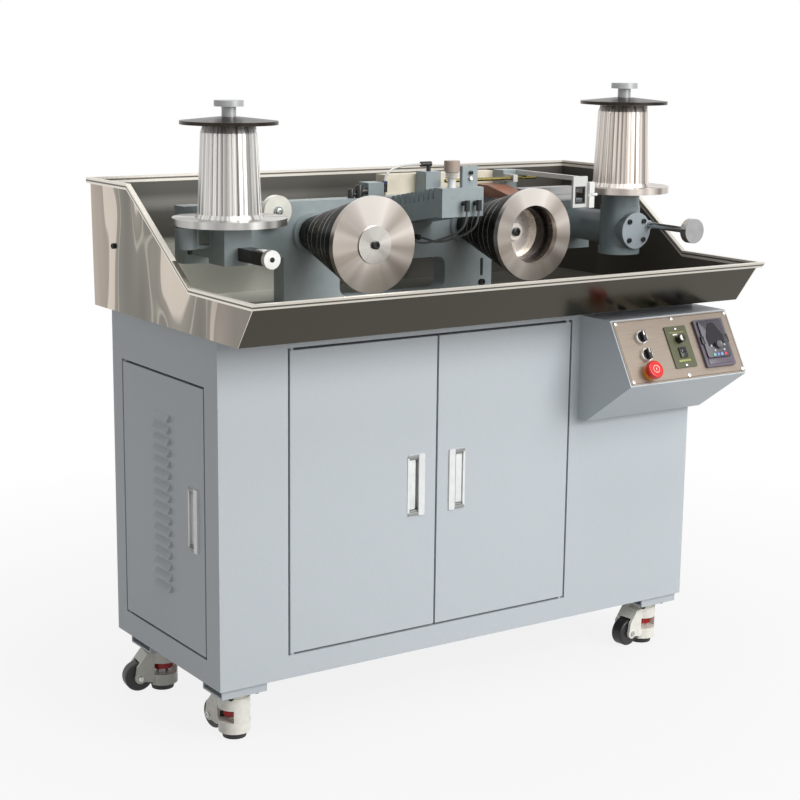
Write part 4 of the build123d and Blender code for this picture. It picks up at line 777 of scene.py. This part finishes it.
# Payoff and take-up drums.
# Polished fluted steel drums on a flat flange, with painted reflections and painted shade in the flutes, under
# a dark burnished cap plate that a knob holds down.
def fluted(name, centre, low, middle, high):
    """Polished steel with bright and dark stripes of painted reflection up the drum, painted shade in each
    flute's hollow, and soft bands of painted reflection on its flange.
    """
    material = coat(name, middle, 0.34, metal=1.0, scale=60.0, shift=0.08, depth=0.0, wear=0.01)
    tree = material.node_tree
    spot = joined(tree, "TexCoord", {}, "Object")
    shift = joined(tree, "Mapping", {"Vector": spot, "Location": (-centre[0], -centre[1], 0.0)})
    flat = joined(tree, "VectorMath", {0: shift, 1: (1.0, 1.0, 0.0)}, operation="MULTIPLY")
    spoke = joined(tree, "VectorMath", {0: flat}, operation="NORMALIZE")
    broad = joined(tree, "TexNoise", {"Vector": spoke, "Scale": 3.2, "Detail": 1.0})
    spoke_x, spoke_y, _ = axes_of(tree, spoke)
    # Painted shade in each flute's hollow, from a ripple that repeats with the 36 flutes.
    turn = reckon(tree, "MULTIPLY", reckon(tree, "ARCTAN2", spoke_y, spoke_x), 36.0)
    flute_shade = reckon(tree, "MULTIPLY", reckon(tree, "COSINE", turn), 0.055)
    mixed = reckon(tree, "ADD", broad, flute_shade)
    painted_reflection_stripes = ramp(tree, mixed, ((0.34, low), (0.44, middle), (0.52, high), (0.60, middle), (0.70, high)))
    tree.links.new(painted_reflection_stripes, shader_in(tree).inputs["Base Color"])
    reach = joined(tree, "VectorMath", {0: flat}, "Value", operation="LENGTH")
    # Painted reflection on the flange: soft bands of the same noise.
    soft = ramp(tree, broad, ((0.30, low), (0.55, middle), (0.80, high)))
    overlay(tree, above(tree, reach, 0.0712), soft)
    return material


grey = ((0.26, 0.255, 0.245), (0.52, 0.51, 0.49), (0.82, 0.80, 0.77))
warm = ((0.27, 0.235, 0.215), (0.56, 0.51, 0.47), (0.84, 0.79, 0.74))
drum_finishes = {
    "payoff": fluted("payoff_steel", (-0.497, -0.002), *grey),
    "takeup": fluted("takeup_steel", (0.495, -0.037), *warm),
}
cap_bronze = coat("cap_burnished", (0.032, 0.026, 0.021), 0.30, metal=0.8, scale=25.0, shift=0.35)
shader_in(cap_bronze.node_tree).inputs["Specular IOR Level"].default_value = 0.3
knob_steel = coat("knob_steel", (0.42, 0.43, 0.43), 0.36, metal=0.35, scale=40.0)
for reel in ("payoff", "takeup"):
    dress(reel + "_spool", drum_finishes[reel])
    dress(reel + "_cap_plate", cap_bronze)
    dress(reel + "_spindle", knob_steel)

# Lubricant valve, fittings and hoses.
# A chrome neck, a knurled ring and a beige cap on the die box, black push-in elbows, and soft clear tubes.
valve = coat("valve_beige", (0.36, 0.29, 0.24), 0.36, scale=60.0)
tree = valve.node_tree
x, y, z = place_in(tree)
overlay(tree, below(tree, z, 1.1272), (0.42, 0.40, 0.36))
overlay(tree, below(tree, z, 1.1131), (0.75, 0.76, 0.76))
dress("lubricant_valve", valve)
bpy.ops.mesh.primitive_cylinder_add(vertices=44, radius=0.0143, depth=0.0100, location=(0, 0, 0.0050))
pick(on_side)
bpy.ops.mesh.inset(use_individual=True, thickness=0.0003, depth=-0.0005)
settle("valve_knurl", bright_ring, "machine", (0.008, -0.054, 1.1145))
dress("lubricant_fittings", black_plastic)
for name, at, facing, radius, height in (
    ("side_port_neck", (-0.086, 0.132, 1.075), (-1, 0, 0), 0.0070, 0.020),
    ("side_port_body", (-0.106, 0.132, 1.0612), (0, 0, 1), 0.0085, 0.024),
    ("side_port_plug", (-0.124, 0.136, 1.0612), (0, 0, 1), 0.0072, 0.017),
    ("side_port_bar", (-0.100, 0.136, 1.069), (-1, 0, 0), 0.0055, 0.024),
):
    socket_screw(name, black_plastic, "machine", at, facing, radius, height)
at = (0.048, -0.067, 1.124)
socket_screw("plate_stud", dark_steel, "machine", at, to_front, 0.0042, 0.004)
at = (0.048, -0.067, 1.112)
socket_screw("plate_mark", bright_ring, "machine", at, to_front, 0.0042, 0.003)
hose_smoke = coat("hose_smoke", (0.26, 0.27, 0.27), 0.18, scale=60.0)
hose_clear = coat("hose_clear", (0.70, 0.70, 0.66), 0.18, scale=60.0)
shader_in(hose_smoke.node_tree).inputs["Transmission Weight"].default_value = 0.5
shader_in(hose_clear.node_tree).inputs["Transmission Weight"].default_value = 0.4
left_route = (
    (0.029, -0.082, 1.044),
    (0.029, -0.082, 1.014),
    (0.033, -0.027, 0.986),
    (0.007, 0.048, 0.962),
    (-0.003, 0.080, 0.970),
    (-0.003, 0.108, 0.970),
)
right_route = (
    (0.060, -0.082, 1.044),
    (0.060, -0.082, 1.014),
    (0.064, -0.027, 0.986),
    (0.047, 0.048, 0.962),
    (0.037, 0.080, 0.970),
    (0.037, 0.108, 0.970),
)
top_route = ((0.065, 0.1445, 1.128), (0.001, 0.1445, 1.128), (-0.031, 0.1445, 1.107), (-0.031, 0.1445, 1.093))
for name, material, length, route in (
    ("hose_left", hose_smoke, 0.2286, left_route),
    ("hose_right", hose_smoke, 0.2266, right_route),
    ("hose_top", hose_clear, 0.1120, top_route),
):
    line = bpy.data.curves.new(name, "CURVE")
    line.dimensions = "3D"
    spline = line.splines.new("NURBS")
    spline.points.add(len(route) - 1)
    for point, place in zip(spline.points, route):
        point.co = (*place, 1.0)
    spline.order_u = 3
    spline.use_endpoint_u = True
    line.resolution_u = 12
    line.bevel_depth = 0.0025
    line.bevel_resolution = 5
    line.use_fill_caps = True
    hose = bpy.data.objects.new(name, line)
    bpy.context.scene.collection.objects.link(hose)
    line.materials.append(material)
    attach(hose, "machine")
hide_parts("lubricant_tubes")
bpy.ops.object.select_all(action="DESELECT")
bpy.ops.mesh.primitive_cylinder_add(vertices=32, radius=0.0062, depth=0.0050, location=(0, 0, 0.0025))
pick(on_top)
bpy.ops.mesh.inset(thickness=0.0015, depth=0.0012)
elbow_blue = coat("elbow_blue", (0.03, 0.03, 0.11), 0.35)
settle("elbow_collar", elbow_blue, "machine", (-0.031, 0.1445, 1.0880))

# Guides and guard.
# Nylon pulley and rollers, a bright handle, a cream guard, a brown laminate block and a brass spray pipe.
dress("guide_pulley", coat("pulley_nylon", (0.70, 0.69, 0.62), 0.42))
dress("takeup_handle", coat("handle_bright", (0.42, 0.42, 0.42), 0.24, metal=1.0))
dress("rear_guard", coat("guard_cream", (0.66, 0.60, 0.48), 0.42))
laminate = coat("brown_laminate", (0.20, 0.075, 0.042), 0.40, grain=(1.0, 0.2, 1.0), shift=0.25)
dress("wire_guide_block", laminate)
dress("spray_pipe", coat("brass_pipe", (0.26, 0.22, 0.08), 0.26, metal=1.0))
rail_anodised = coat("rail_anodised", (0.50, 0.50, 0.50), 0.30, metal=1.0, grain=(0.1, 1.0, 1.0))
dress("traverse_rail", rail_anodised)
dress("traverse_rollers", coat("roller_nylon", (0.74, 0.74, 0.72), 0.35))
